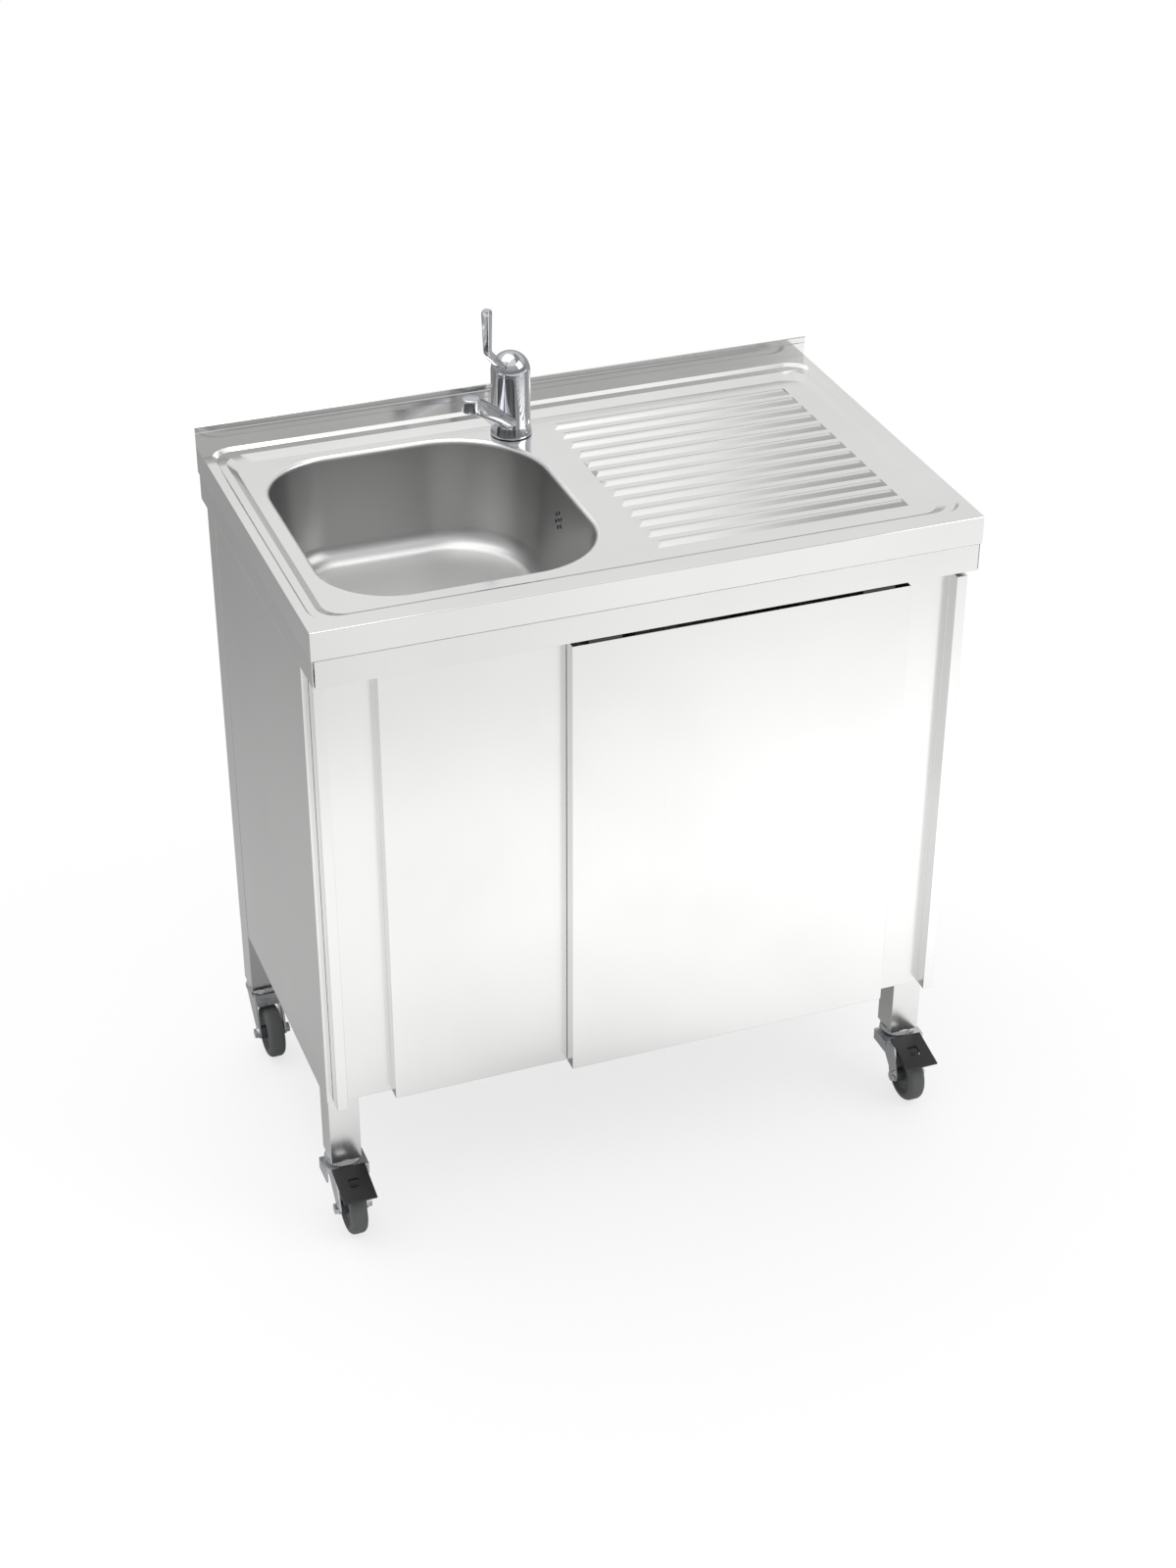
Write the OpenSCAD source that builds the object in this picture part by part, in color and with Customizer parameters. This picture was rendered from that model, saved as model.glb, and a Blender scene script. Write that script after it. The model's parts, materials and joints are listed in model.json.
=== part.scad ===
// Portable clinic sink: a stainless top with one bowl and a ribbed drainer on a
// cabinet with two sliding doors, four castors, a lever mixer and two tanks.
// Millimetres, +Z up. The origin is on the floor, at the middle of the footprint.

/* [Worktop] */
// Width of the worktop
worktop_w = 800; // [700:10:1200]
// Depth of the worktop
worktop_d = 500; // [480:10:620]
// Height of the worktop above the floor
worktop_h = 860; // [800:5:920]
// Thickness of the worktop sheet
top_sheet = 1.2; // [1:0.1:1.5]
// Depth of the worktop's folded skirt
skirt_h = 35; // [30:1:45]
// Width of the lip that is folded in under the skirt
skirt_lip = 12; // [8:1:14]
// Height of the upstand along the back edge
upstand_h = 25; // [15:1:100]

/* [Pressed rim] */
// Flat land outside the outer step at each side
land_side = 10.5; // [8:0.5:14]
// Flat land outside the outer step at the front
land_front = 24; // [18:1:26]
// Flat land outside the outer step at the back
land_back = 17; // [12:1:18]
// Drop of the outer step
outer_drop = 2.5; // [1.5:0.5:3]
// Width of the shelf between the two steps at the sides
mid_side = 9; // [8:0.5:12]
// Width of the shelf between the two steps at the front
mid_front = 5; // [4:0.5:8]
// Width of the shelf between the two steps at the back
mid_back = 13; // [10:0.5:14]
// Drop of the inner step
inner_drop = 3; // [2:0.5:4]
// Radius of the rim's corners
rim_r = 26; // [18:1:32]

/* [Bowl] */
// Width of the bowl's mouth
bowl_w = 328; // [300:2:340]
// Depth of the bowl under the drainer's floor
bowl_depth = 134; // [110:2:160]
// Distance of the bowl's mouth from the worktop's left edge
bowl_side = 50; // [46:1:60]
// Distance of the bowl's mouth from the worktop's front edge
bowl_front = 62; // [58:1:70]
// Distance of the bowl's mouth from the worktop's back edge
bowl_back = 74; // [72:1:90]
// Radius of the two left corners of the mouth
bowl_r = 88; // [70:1:100]
// Radius of the front right corner
bowl_r_fr = 98; // [80:1:110]
// Radius of the back right corner, beside the tap
bowl_r_tap = 118; // [110:1:130]
// How far the walls lean in on the way down
bowl_draft = 10; // [5:1:16]
// Height of the worktop above the middle of the overflow holes
overflow_drop = 50; // [42:1:60]
// Radius that the mouth's edge is rolled over
lip_r = 5; // [3:0.5:6]
// Radius between the walls and the floor
bowl_fillet = 27; // [20:1:34]
// Thickness of the bowl's sheet
bowl_sheet = 1; // [0.8:0.1:1.2]
// Radius of the drain hole
drain_r = 27; // [24:0.5:30]

/* [Drainer ribs] */
// Number of ribs
rib_count = 13; // [9:1:13]
// Distance from one rib to the next
rib_pitch = 28; // [24:1:28]
// Width of a rib at its foot
rib_w = 18; // [14:1:20]
// Height of a rib
rib_h = 3.2; // [2.5:0.1:4]
// Length of a rib
rib_len = 313; // [280:1:320]
// Gap between the bowl's mouth and the ribs
rib_gap = 46; // [42:1:60]

/* [Cabinet] */
// Thickness of the cabinet's sheet
case_sheet = 1.2; // [1:0.1:1.5]
// Height of the fascia under the skirt
fascia_h = 33.5; // [30:0.5:40]
// Width of the open joint at the fascia's front corners
fascia_slit = 1.2; // [1:0.1:2]
// Width of the fascia's top flange
fascia_flange = 20; // [16:1:22]
// Distance of the side panels' faces inside the worktop's edge
side_inset = 1; // [0.5:0.1:2]
// Distance of the front legs behind the worktop's front edge
leg_front = 54; // [52:1:58]
// Distance of the rear legs in front of the worktop's back edge
leg_back = 27; // [22:1:40]
// Outside width of a leg tube
leg_w = 38; // [35:0.5:40]
// Wall of a leg tube
leg_wall = 1.5; // [1.2:0.1:2]
// Height of the cabinet's lower edge above the floor
case_z = 189; // [160:1:220]
// Depth of the bottom shelf's folded edge
shelf_edge = 30; // [20:1:40]
// Step of the joggle at a side panel's rear edge
joggle = 3; // [2:0.5:4]
// Length of that joggle
joggle_len = 10; // [8:1:14]

/* [Doors] */
// Width of a door
door_w = 490; // [420:1:560]
// Thickness of a door
door_t = 19; // [17:0.5:20]
// Height of a door
door_h = 590.5; // [560:0.5:592]
// Sheet of the doors
door_sheet = 1; // [0.8:0.1:1.2]
// Distance of a closed door's edge from the worktop's end
door_inset = 8.5; // [6:0.5:12]
// Gap between the two doors, and behind the rear one
door_gap = 1.5; // [1:0.25:2]
// Width of the outer bar of the pull
pull_bar = 13; // [10:1:16]
// Width of the channel that the fingers go into
pull_w = 60; // [50:1:70]
// Height of the door's lower edge above the cabinet's
door_lift = 0.5; // [0:0.5:2]
// Length of a nylon glide
glide_len = 30; // [20:1:40]
// Running clearance of the glides and the guide
glide_gap = 0.4; // [0.3:0.1:0.6]

/* [Tap] */
// Distance of the tap's axis from the worktop's left edge
tap_side = 372; // [370:1:376]
// Distance of the tap's axis from the worktop's back edge
tap_back = 84; // [80:1:88]
// Radius of the tap's foot
tap_foot_r = 25; // [24.5:0.25:27]
// Radius of the tap's body and dome
tap_r = 24; // [22:0.5:24]
// Height of the body up to the dome
tap_h = 82; // [76:1:95]
// Radius of the spigot that the dome turns on
spigot_r = 18; // [17:0.25:18.5]
// Reach of the spout from the tap's axis
spout_reach = 94; // [80:1:110]
// Height of the outlet's top above the tap's foot
spout_h = 82; // [72:1:92]
// Radius of the outlet
outlet_r = 10; // [8:0.5:12]
// Height of the outlet
outlet_h = 16; // [13:0.5:20]
// Width of the spout where it leaves the body
spout_root_w = 34; // [20:1:36]
// Direction of spout and lever, turned from the left towards the front
tap_turn = 41; // [30:1:60]
// Reach of the lever's bend from the tap's axis
lever_reach = 53; // [45:1:65]
// Rise of the lever's bend above its pin
lever_rise = 31.5; // [26:0.5:40]
// Length of the lever's upright grip
lever_grip = 54; // [45:1:110]
// Depth of the grip at its tip
lever_tip = 12; // [9:0.5:14]
// Thickness of the lever
lever_t = 7; // [6:0.5:9]
// Width of the lever's foot where it enters the dome
lever_root_w = 13; // [10:0.5:15]
// Radius of the hole for the tap
tap_hole_r = 17.5; // [17:0.5:18]

/* [Castors] */
// Diameter of a wheel
wheel_d = 72; // [65:1:80]
// Width of a wheel
wheel_w = 22; // [20:1:26]
// Distance from the swivel axis forward to the axle
trail = 36; // [34:1:40]
// Plate thickness of a fork
fork_t = 2.5; // [2:0.25:3]
// Gap between wheel and fork on each side
fork_gap = 5; // [3:0.25:6]
// Radius of the kingpin
king_r = 5; // [4:0.5:6]
// Radius of the axle bolt
axle_r = 4; // [3:0.5:5]
// Length that the axle stands out of each fork plate
axle_out = 5; // [4:0.5:7]
// Height from the wheel's top to the leg
head_h = 21; // [19:1:24]
// Radius of the swivel head
head_r = 21.5; // [20:0.5:22]
// Radial running clearance of pins and axles
pin_gap = 0.05; // [0.02:0.01:0.09]
// Width of a brake pedal
pedal_w = 42; // [34:1:46]
// Distance from the swivel axis to the pedal's tip
pedal_tip = 78; // [74:1:88]
// Height of the pedal's back edge above its tip
pedal_fall = 12; // [6:0.5:14]
// Thickness of the pedal's plate
pedal_t = 2.5; // [2:0.25:3]
// Width of the window in the pedal
window_w = 13; // [8:1:16]
// Length of that window
window_l = 15; // [8:1:18]

/* [Tanks and pipes] */
// Width of a tank
tank_w = 250; // [200:5:260]
// Depth of a tank
tank_d = 300; // [250:5:310]
// Height of a tank without its neck
tank_h = 330; // [260:5:340]
// Radius of a tank's upright edges
tank_r = 24; // [15:1:30]
// Radius of a tank's neck
neck_r = 31; // [28:0.5:34]
// Distance of the fresh tank from the worktop's right edge
tank_side = 130; // [120:5:180]
// Outer radius of the drain pipe
pipe_r = 20; // [18:0.5:21]
// Wall of the drain and overflow pipes
pipe_wall = 2; // [1.5:0.25:3]
// Outer radius of the overflow pipe
overflow_r = 11; // [9:0.5:12]
// Outer radius of the supply pipe
supply_r = 6; // [5:0.5:8]

/* [Hidden] */
$fn = 48;

// colours, as the metal and plastic look
steel = [0.80, 0.80, 0.80];
steel_dark = [0.62, 0.62, 0.63];
zinc = [0.60, 0.61, 0.62];
chrome = [0.74, 0.75, 0.76];
black = [0.10, 0.10, 0.11];
rubber = [0.30, 0.31, 0.31];
white_plastic = [0.90, 0.90, 0.88];
tank_plastic = [0.86, 0.89, 0.90];

// a hair's breadth of overlap for cuts and joins
eps = 0.01;

// plan of the whole
left_x = -worktop_w / 2;
leg_x = worktop_w / 2 - side_inset - case_sheet - leg_w / 2;
pedal_reach = pedal_tip - leg_front - leg_w / 2;
front_y = -(worktop_d - pedal_reach) / 2;
back_y = front_y + worktop_d;
leg_y_front = front_y + leg_front + leg_w / 2;
leg_y_rear = back_y - leg_back - leg_w / 2;
case_front_y = front_y + leg_front;
case_back_y = back_y - leg_back;

// heights
skirt_z = worktop_h - skirt_h;
fascia_z = skirt_z - fascia_h;
leg_top_z = skirt_z - case_sheet;
leg_z = wheel_d + head_h;
shelf_z = case_z + shelf_edge;
mid_z = worktop_h - outer_drop;
floor_z = mid_z - inner_drop;
under_z = floor_z - top_sheet;

// runs of the two pressed steps: left and right, front, back
outer_run = [3, 3, 7];
inner_run = [8.5, 8, 19];
outer_lo = [left_x + land_side, front_y + land_front];
outer_hi = [-left_x - land_side, back_y - land_back];
inner_lo = outer_lo + [outer_run[0] + mid_side, outer_run[1] + mid_front];
inner_hi = outer_hi - [outer_run[0] + mid_side, outer_run[2] + mid_back];

// bowl: centres and radii of the mouth's four corners
bowl_l = worktop_d - bowl_front - bowl_back;
bowl_lo = [left_x + bowl_side, front_y + bowl_front];
bowl_hi = bowl_lo + [bowl_w, bowl_l];
bowl_mid = (bowl_lo + bowl_hi) / 2;
bowl_corners = [
    [bowl_lo[0] + bowl_r, bowl_lo[1] + bowl_r, bowl_r],
    [bowl_hi[0] - bowl_r_fr, bowl_lo[1] + bowl_r_fr, bowl_r_fr],
    [bowl_hi[0] - bowl_r_tap, bowl_hi[1] - bowl_r_tap, bowl_r_tap],
    [bowl_lo[0] + bowl_r, bowl_hi[1] - bowl_r, bowl_r]];
bowl_floor_z = floor_z - bowl_depth;
wall_top_z = floor_z - lip_r;
seal_t = 0.2;

// ribs of the drainer
rib_x = bowl_hi[0] + rib_gap;
rib_y = front_y + (worktop_d - (rib_count - 1) * rib_pitch - rib_w) / 2 - 7;
rib_slope = 5.5;

// doors: the right one runs in front of the left one
right_y = case_front_y - door_gap - case_sheet - 2 * door_t - door_gap;
left_y = right_y + door_t + door_gap;
door_z = case_z + door_lift;
door_top_z = door_z + door_h;
door_x = -left_x - door_inset - door_w;

// track lanes, one over each door's middle
lane_w = 15;
lane_wall = 1.5;
lane_h = 12;
lane_lip = 4.5;
track_web = 2;
lane_top_z = leg_top_z - track_web;
lane_z = lane_top_z - lane_h;
stem_w = 5;
glide_foot_h = 3;
glide_head_h = 6;

// guide at the middle of the opening, under both doors
slot_w = 7;
fin_w = 4;
fin_h = 9;
guide_len = 50;
guide_t = 2.5;
guide_drop = 1;

// tap
tap_x = left_x + tap_side;
tap_y = back_y - tap_back;
dome_wall = 3;
dome_seam = 0.3;
spigot_h = 4;
lever_pin_r = 2;
lever_hub_r = 5;
pin_rise = spigot_h + lever_hub_r + 0.5;
pin_half = tap_r - 3.4;
slot_play = 0.8;
lever_half = 3;
lever_knee = 19;
seat_r = 14;
seat_depth = 42;
lever_lift = 22;
shank_r = 16;
gasket_t = 0.8;
aerator_h = 8;
shank_z = under_z - 42;

// castors
axle_z = wheel_d / 2;
fork_in = wheel_w / 2 + fork_gap;
fork_out = fork_in + fork_t;
cup_lip = 1.2;
plug_h = 34;
crown_gap = 8;
crown_t = 3.5;
crown_z = wheel_d + crown_gap;
crown_top_z = crown_z + crown_t;
cup_z = crown_top_z + 0.3;
fork_back = 14.5;
fork_front = 31;
ear_top_z = crown_top_z + 7.5;
hub_r = 26;
pivot_y = 27;
lug_r = 3;
pivot_z = crown_top_z - lug_r;
pivot_r = 2.5;
ear_r = 4.8;
pedal_back = head_r + 2;
pedal_z = crown_top_z + 2.5;
shoe_gap = 0.9;
shoulder_w = 9;
shoulder_drop = 16;

// waste, overflow and supply
waste_top_z = bowl_floor_z - bowl_sheet;
waste_z = waste_top_z - 48;
spigot_z = waste_z - 17;
overflow_z = worktop_h - overflow_drop;
overflow_y = bowl_mid[1] + 11;
overflow_port_z = waste_top_z - 32;
overflow_bend = 20;
tank_z = shelf_z;
tank_top_z = tank_z + tank_h;
neck_h = 20;
cap_h = 22;
waste_tank_pos = bowl_mid;
fresh_tank_pos = [-left_x - tank_side - tank_w / 2, case_back_y - 6 - tank_d / 2];
fresh_neck = [fresh_tank_pos[0], tap_y];
pump_z = tank_top_z + cap_h;
pump_h = 78;
pump_r = 34;
pump_band_z = 16;
pump_band_h = 4;
suction_len = 15;
suction_r = 6;
supply_z = shank_z - 44;
supply_bend = 16;

// Shapes shared by several pieces

// box between two corners
module block(lo, hi) {
    translate(lo) cube(hi - lo);
}

// one level outline with four round corners, a hair thick, its top at z
module level(lo, hi, r, z) {
    for (x = [lo[0] + r, hi[0] - r], y = [lo[1] + r, hi[1] - r])
        translate([x, y, z - eps]) cylinder(r = r, h = eps, $fn = 32);
}

// pressed pan: the outline at z_top leans in by run on its way down by drop;
// run holds the side, front and back figures; over carries the slope on above z_top
module pan(lo, hi, r, run, z_top, drop, over) {
    k = over / drop;
    hull() {
        level(lo - k * [run[0], run[1]], hi + k * [run[0], run[2]], r, z_top + over);
        level(lo + [run[0], run[1]], hi - [run[0], run[2]], r, z_top - drop + eps);
    }
}

// outline of the bowl's mouth, grown by g
module mouth(g) {
    hull() for (c = bowl_corners) translate([c[0], c[1]]) circle(r = c[2] + g);
}

// round tube along +Z
module tube(r, r_in, h) {
    difference() {
        cylinder(r = r, h = h);
        translate([0, 0, -eps]) cylinder(r = r_in, h = h + 2 * eps);
    }
}

// quarter bend of a tube in the XZ plane: it starts upwards at the origin and
// ends along +X
module bend(r, r_in, radius) {
    translate([radius, 0, 0]) rotate([90, 0, 0]) rotate([0, 0, 90])
        rotate_extrude(angle = 90) translate([radius, 0]) difference() {
            circle(r = r);
            circle(r = r_in);
        }
}

// Worktop

// raised ribs of the drainer, dropped by d and with their feet carried on down
module ribs(d, foot) {
    crest = rib_w / 2 - rib_slope;
    outline = concat([[0, -foot]],
        [for (i = [0 : rib_count - 1], p = [[0, 0], [rib_slope * 0.35, 0.2 * rib_h],
            [rib_slope, 0.9 * rib_h], [rib_w / 2 - crest / 2, rib_h],
            [rib_w / 2 + crest / 2, rib_h], [rib_w - rib_slope, 0.9 * rib_h],
            [rib_w - rib_slope * 0.35, 0.2 * rib_h], [rib_w, 0]])
            [i * rib_pitch + p[0], p[1]]],
        [[(rib_count - 1) * rib_pitch + rib_w, -foot]]);
    translate([rib_x, rib_y, floor_z - d]) intersection() {
        rotate([90, 0, 90]) linear_extrude(rib_len) polygon(outline);
        translate([0, rib_count * rib_pitch, 0]) rotate([90, 0, 0])
            linear_extrude((rib_count + 1) * rib_pitch)
            polygon([[0, -foot - 1], [0, 0], [rib_slope + 1, rib_h + 0.5],
                [rib_len - rib_slope - 1, rib_h + 0.5], [rib_len, 0], [rib_len, -foot - 1]]);
    }
}

// flat plate with its skirt, the folded lip and the upstand
module folded_top() {
    t = top_sheet;
    difference() {
        block([left_x, front_y, skirt_z], [-left_x, back_y, worktop_h]);
        block([left_x + t, front_y + t, skirt_z + t], [-left_x - t, back_y - t, worktop_h - t]);
        block([left_x + skirt_lip, front_y + skirt_lip, skirt_z - 1],
            [-left_x - skirt_lip, back_y - skirt_lip, skirt_z + t + 1]);
    }
    block([left_x, back_y - t, worktop_h - t], [-left_x, back_y, worktop_h + upstand_h]);
    // the upstand's safety fold
    block([left_x, back_y - 2 * t, worktop_h + upstand_h - 8],
        [-left_x, back_y - t + eps, worktop_h + upstand_h]);
}

module worktop() {
    t = top_sheet;
    grow = [t, t];
    color(steel) difference() {
        union() {
            difference() {
                union() {
                    folded_top();
                    pan(outer_lo - grow, outer_hi + grow, rim_r + t, outer_run,
                        worktop_h - t, outer_drop, eps);
                    pan(inner_lo - grow, inner_hi + grow, rim_r + t, inner_run,
                        mid_z - t, inner_drop, eps);
                }
                pan(outer_lo, outer_hi, rim_r, outer_run, worktop_h, outer_drop, 1);
                pan(inner_lo, inner_hi, rim_r, inner_run, mid_z, inner_drop, 1);
            }
            ribs(0, t / 2);
        }
        ribs(t, 2);
        translate([0, 0, under_z - 1]) linear_extrude(t + 2) mouth(lip_r);
        translate([tap_x, tap_y, under_z - 1]) cylinder(r = tap_hole_r, h = t + 2);
    }
}

// omega channel that stiffens the drainer from below
module drainer_stiffener() {
    w = 60;
    h = 22;
    foot = 14;
    x = rib_x + rib_len / 2 - w / 2;
    t = case_sheet;
    y0 = inner_lo[1] + inner_run[1] + 4;
    y1 = inner_hi[1] - inner_run[2] - 4;
    color(steel_dark) translate([x, y1, under_z]) rotate([90, 0, 0]) linear_extrude(y1 - y0)
        union() {
            translate([0, -h]) square([w, t]);
            for (s = [0, w - t]) translate([s, -h]) square([t, h]);
            translate([-foot, -t]) square([foot + t, t]);
            translate([w - t, -t]) square([foot + t, t]);
        }
}

// Bowl

// solid form of the bowl, grown by g: a hull of four round corners with a filleted foot
module bowl_form(g, z_top, z_floor) {
    f = bowl_fillet + g;
    hull() for (c = bowl_corners) translate([c[0], c[1], 0]) {
        translate([0, 0, z_top - eps]) cylinder(r = c[2] + g, h = eps, $fn = 48);
        // foot of the corner: only the outer half of the fillet's circle is turned
        translate([0, 0, z_floor + f]) rotate_extrude($fn = 48) intersection() {
            translate([c[2] + g - bowl_draft - f, 0]) circle(r = f, $fn = 24);
            translate([0, -f]) square([c[2] + g, f]);
        }
    }
}

// band of the mouth's outline, grown by g_low at z_low and by g_high at z_high
module mouth_taper(g_low, z_low, g_high, z_high) {
    hull() for (c = bowl_corners) translate([c[0], c[1], z_low])
        cylinder(r1 = c[2] + g_low, r2 = c[2] + g_high, h = z_high - z_low);
}

// seven overflow holes through the right wall: one in the middle and six round it
module overflow_holes() {
    for (i = [0 : 6]) {
        a = 60 * i + 30;
        k = i == 6 ? 0 : 9;
        translate([bowl_hi[0] - overflow_drop, overflow_y + k * cos(a), overflow_z + k * sin(a)])
            rotate([0, 90, 0]) cylinder(r = 2.8, h = 2 * overflow_drop, $fn = 20);
    }
}

module bowl() {
    s = bowl_sheet;
    color(steel) difference() {
        union() {
            bowl_form(s, wall_top_z, bowl_floor_z - s);
            mouth_taper(s, wall_top_z - eps, lip_r, floor_z - s);
            translate([0, 0, floor_z - s - eps]) linear_extrude(s + eps) mouth(lip_r);
        }
        bowl_form(0, wall_top_z + eps, bowl_floor_z);
        // the rolled edge, in three bands of a quarter round
        for (a = [0, 30, 60])
            mouth_taper(lip_r * (1 - cos(a)), wall_top_z + lip_r * sin(a),
                lip_r * (1 - cos(a + 30)), wall_top_z + lip_r * sin(a + 30) + eps);
        translate([bowl_mid[0], bowl_mid[1], bowl_floor_z - 2 * s]) cylinder(r = drain_r, h = 4 * s);
        overflow_holes();
    }
}

// Fascia and frame

// side rail of the fascia: a web and its top flange; s is -1 on the left
module fascia_side(s) {
    t = case_sheet;
    x = -left_x - side_inset;
    mirror([s < 0 ? 1 : 0, 0, 0]) {
        block([x - t, front_y + 1.5, fascia_z], [x, back_y - 1.5 - t, skirt_z]);
        block([x - fascia_flange, front_y + fascia_flange + 1.5, skirt_z - t],
            [x, back_y - fascia_flange - 1.5, skirt_z]);
    }
}

module fascia_frame() {
    t = case_sheet;
    x = -left_x - side_inset - t - fascia_slit;
    color(steel) {
        for (s = [-1, 1]) fascia_side(s);
        // front rail, a channel with its open side inwards
        block([-x, front_y, fascia_z], [x, front_y + t, skirt_z]);
        block([-x, front_y, skirt_z - t], [x, front_y + fascia_flange, skirt_z]);
        block([-x, front_y, fascia_z], [x, front_y + 10, fascia_z + t]);
        // rear rail
        block([-x, back_y - 1.5 - t, fascia_z], [x, back_y - 1.5, skirt_z]);
        block([-x, back_y - fascia_flange, skirt_z - t], [x, back_y - 1.5, skirt_z]);
    }
}

// square leg tube with a capped top
module leg(x, y) {
    h = leg_top_z - leg_z;
    w = leg_w;
    i = leg_wall;
    color(steel) translate([x - w / 2, y - w / 2, leg_z]) difference() {
        cube([w, w, h]);
        translate([i, i, -eps]) cube([w - 2 * i, w - 2 * i, h - i]);
    }
}

// side panel: a front flange over the leg, a flat face, a joggle and a rear flange
module side_panel() {
    t = case_sheet;
    x = -left_x - side_inset;
    y1 = case_back_y - leg_w - joggle_len;
    y2 = case_back_y - leg_w;
    color(steel_dark) {
        block([x - t - leg_w - 1.5, case_front_y - t, case_z], [x, case_front_y, fascia_z]);
        block([x - t, case_front_y - t, case_z], [x, y1 + t, fascia_z]);
        block([x - joggle - t, y1, case_z], [x, y1 + t, fascia_z]);
        block([x - joggle - t, y1, case_z], [x - joggle, y2, fascia_z]);
        block([x - joggle - 20, y2 - t, case_z], [x - joggle, y2, fascia_z]);
    }
}

// back panel, with its top edge folded in behind the fascia
module rear_panel() {
    x = leg_x + leg_w / 2;
    t = case_sheet;
    color(steel_dark) {
        block([-x, case_back_y, case_z], [x, case_back_y + t, fascia_z + 8]);
        block([-x, case_back_y, fascia_z + 8 - t], [x, case_back_y + 12, fascia_z + 8]);
    }
}

// corner of the bottom shelf that a leg and, at the back, a joggle take up, grown by g
module shelf_corner(y, back, g) {
    w = leg_w / 2 + g;
    block([leg_x - w, y - w - back, case_z - 1], [leg_x + w + 1, y + w, shelf_z + 1]);
}

// bottom shelf: a tray turned over, with its corners cut out round the legs
module bottom_shelf() {
    x = leg_x + leg_w / 2 - 0.3;
    t = case_sheet;
    color(steel_dark) difference() {
        block([-x, case_front_y, case_z], [x, case_back_y, shelf_z]);
        difference() {
            block([-x + t, case_front_y + t, case_z - 1], [x - t, case_back_y - t, shelf_z - t]);
            for (m = [0, 1]) mirror([m, 0, 0]) {
                shelf_corner(leg_y_front, 0, t);
                shelf_corner(leg_y_rear, joggle_len + glide_gap, t);
            }
        }
        for (m = [0, 1]) mirror([m, 0, 0]) {
            shelf_corner(leg_y_front, 0, 0);
            shelf_corner(leg_y_rear, joggle_len + glide_gap, 0);
        }
    }
}

// Doors

// section of a door in plan, its front at y = 0 and its pull at the left
module door_section() {
    s = door_sheet;
    t = door_t;
    c = pull_bar + pull_w;
    square([s, t]);
    square([pull_bar, s]);
    translate([pull_bar - s, 0]) square([s, t]);
    translate([pull_bar - s, t - s]) square([pull_w + 2 * s, s]);
    translate([c, 0]) square([s, t]);
    translate([c, 0]) square([door_w - c, s]);
    translate([door_w - s, 0]) square([s, t]);
}

// front skin with its pull, the closed top and the slotted foot
module door_panel() {
    s = door_sheet;
    c = pull_bar + pull_w;
    lip = (door_t - slot_w) / 2;
    color(steel) {
        linear_extrude(door_h) door_section();
        for (z = [0, door_h - s]) block([0, 0, z], [pull_bar, door_t, z + s]);
        block([c, 0, door_h - s], [door_w, door_t, door_h]);
        block([c, 0, 0], [door_w, lip, s]);
        block([c, door_t - lip, 0], [door_w, door_t, s]);
    }
}

// back skin, let in between the front skin's edges
module door_back() {
    s = door_sheet;
    c = pull_bar + pull_w;
    color(steel_dark) block([c + s, door_t - s, s], [door_w - s, door_t, door_h - s]);
}

// two nylon glides: a foot on the door, a stem, and a head that runs in the lane
module door_glides() {
    head_z = lane_z + lane_wall + glide_gap - door_z;
    y = door_t / 2;
    color(white_plastic) for (x = [pull_bar + pull_w + 25, door_w - 25 - glide_len])
        translate([x, y, 0]) {
            block([-5, -8, door_h], [glide_len + 5, 8, door_h + glide_foot_h]);
            block([0, -stem_w / 2, door_h], [glide_len, stem_w / 2, head_z + eps]);
            block([0, glide_gap - lane_w / 2, head_z], [glide_len, lane_w / 2 - glide_gap, head_z + glide_head_h]);
        }
}

// places a door's piece: the left door as drawn, the right one mirrored
module at_left_door() {
    translate([left_x + door_inset, left_y, door_z]) children();
}
module at_right_door() {
    translate([-left_x - door_inset, right_y, door_z]) mirror([1, 0, 0]) children();
}

// double track: a web with one slotted lane over each door
module door_track() {
    x = -left_x - side_inset - case_sheet - fascia_slit;
    w = lane_w + 2 * lane_wall;
    color(steel_dark) {
        block([-x, right_y, leg_top_z - track_web], [x, left_y + door_t, leg_top_z]);
        for (y = [right_y + door_t / 2, left_y + door_t / 2]) difference() {
            block([-x, y - w / 2, lane_z], [x, y + w / 2, lane_top_z + eps]);
            block([-x - 1, y - lane_w / 2, lane_z + lane_wall], [x + 1, y + lane_w / 2, lane_top_z]);
            block([-x - 1, y - lane_w / 2 + lane_lip, lane_z - 1],
                [x + 1, y + lane_w / 2 - lane_lip, lane_z + lane_wall + 1]);
        }
    }
}

// nylon guide under the doors: a plate on the shelf's edge with one fin for each door
module door_guide() {
    z = door_z - guide_drop;
    lug = 12;
    color(white_plastic) {
        block([-guide_len / 2, right_y + 5, z - guide_t], [guide_len / 2, case_front_y, z]);
        block([-guide_len / 2, case_front_y - 2, z - guide_t], [guide_len / 2, case_front_y, z + lug]);
        for (y = [right_y + door_t / 2, left_y + door_t / 2])
            block([-guide_len / 2, y - fin_w / 2, z - eps], [guide_len / 2, y + fin_w / 2, z + fin_h]);
    }
}

// Tap

// puts its children at the tap's foot, with +X towards the bowl
module at_tap() {
    translate([tap_x, tap_y, floor_z]) rotate([0, 0, 180 + tap_turn]) children();
}

// turned body: flared foot, straight barrel and the spigot for the dome
module tap_barrel() {
    z = gasket_t;
    rotate_extrude($fn = 64) polygon([[0, z], [tap_foot_r, z], [tap_foot_r, z + 2.5],
        [tap_foot_r - 0.4, z + 7], [tap_r, z + 13], [tap_r, tap_h], [spigot_r, tap_h],
        [spigot_r, tap_h + spigot_h], [0, tap_h + spigot_h]]);
}

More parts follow.
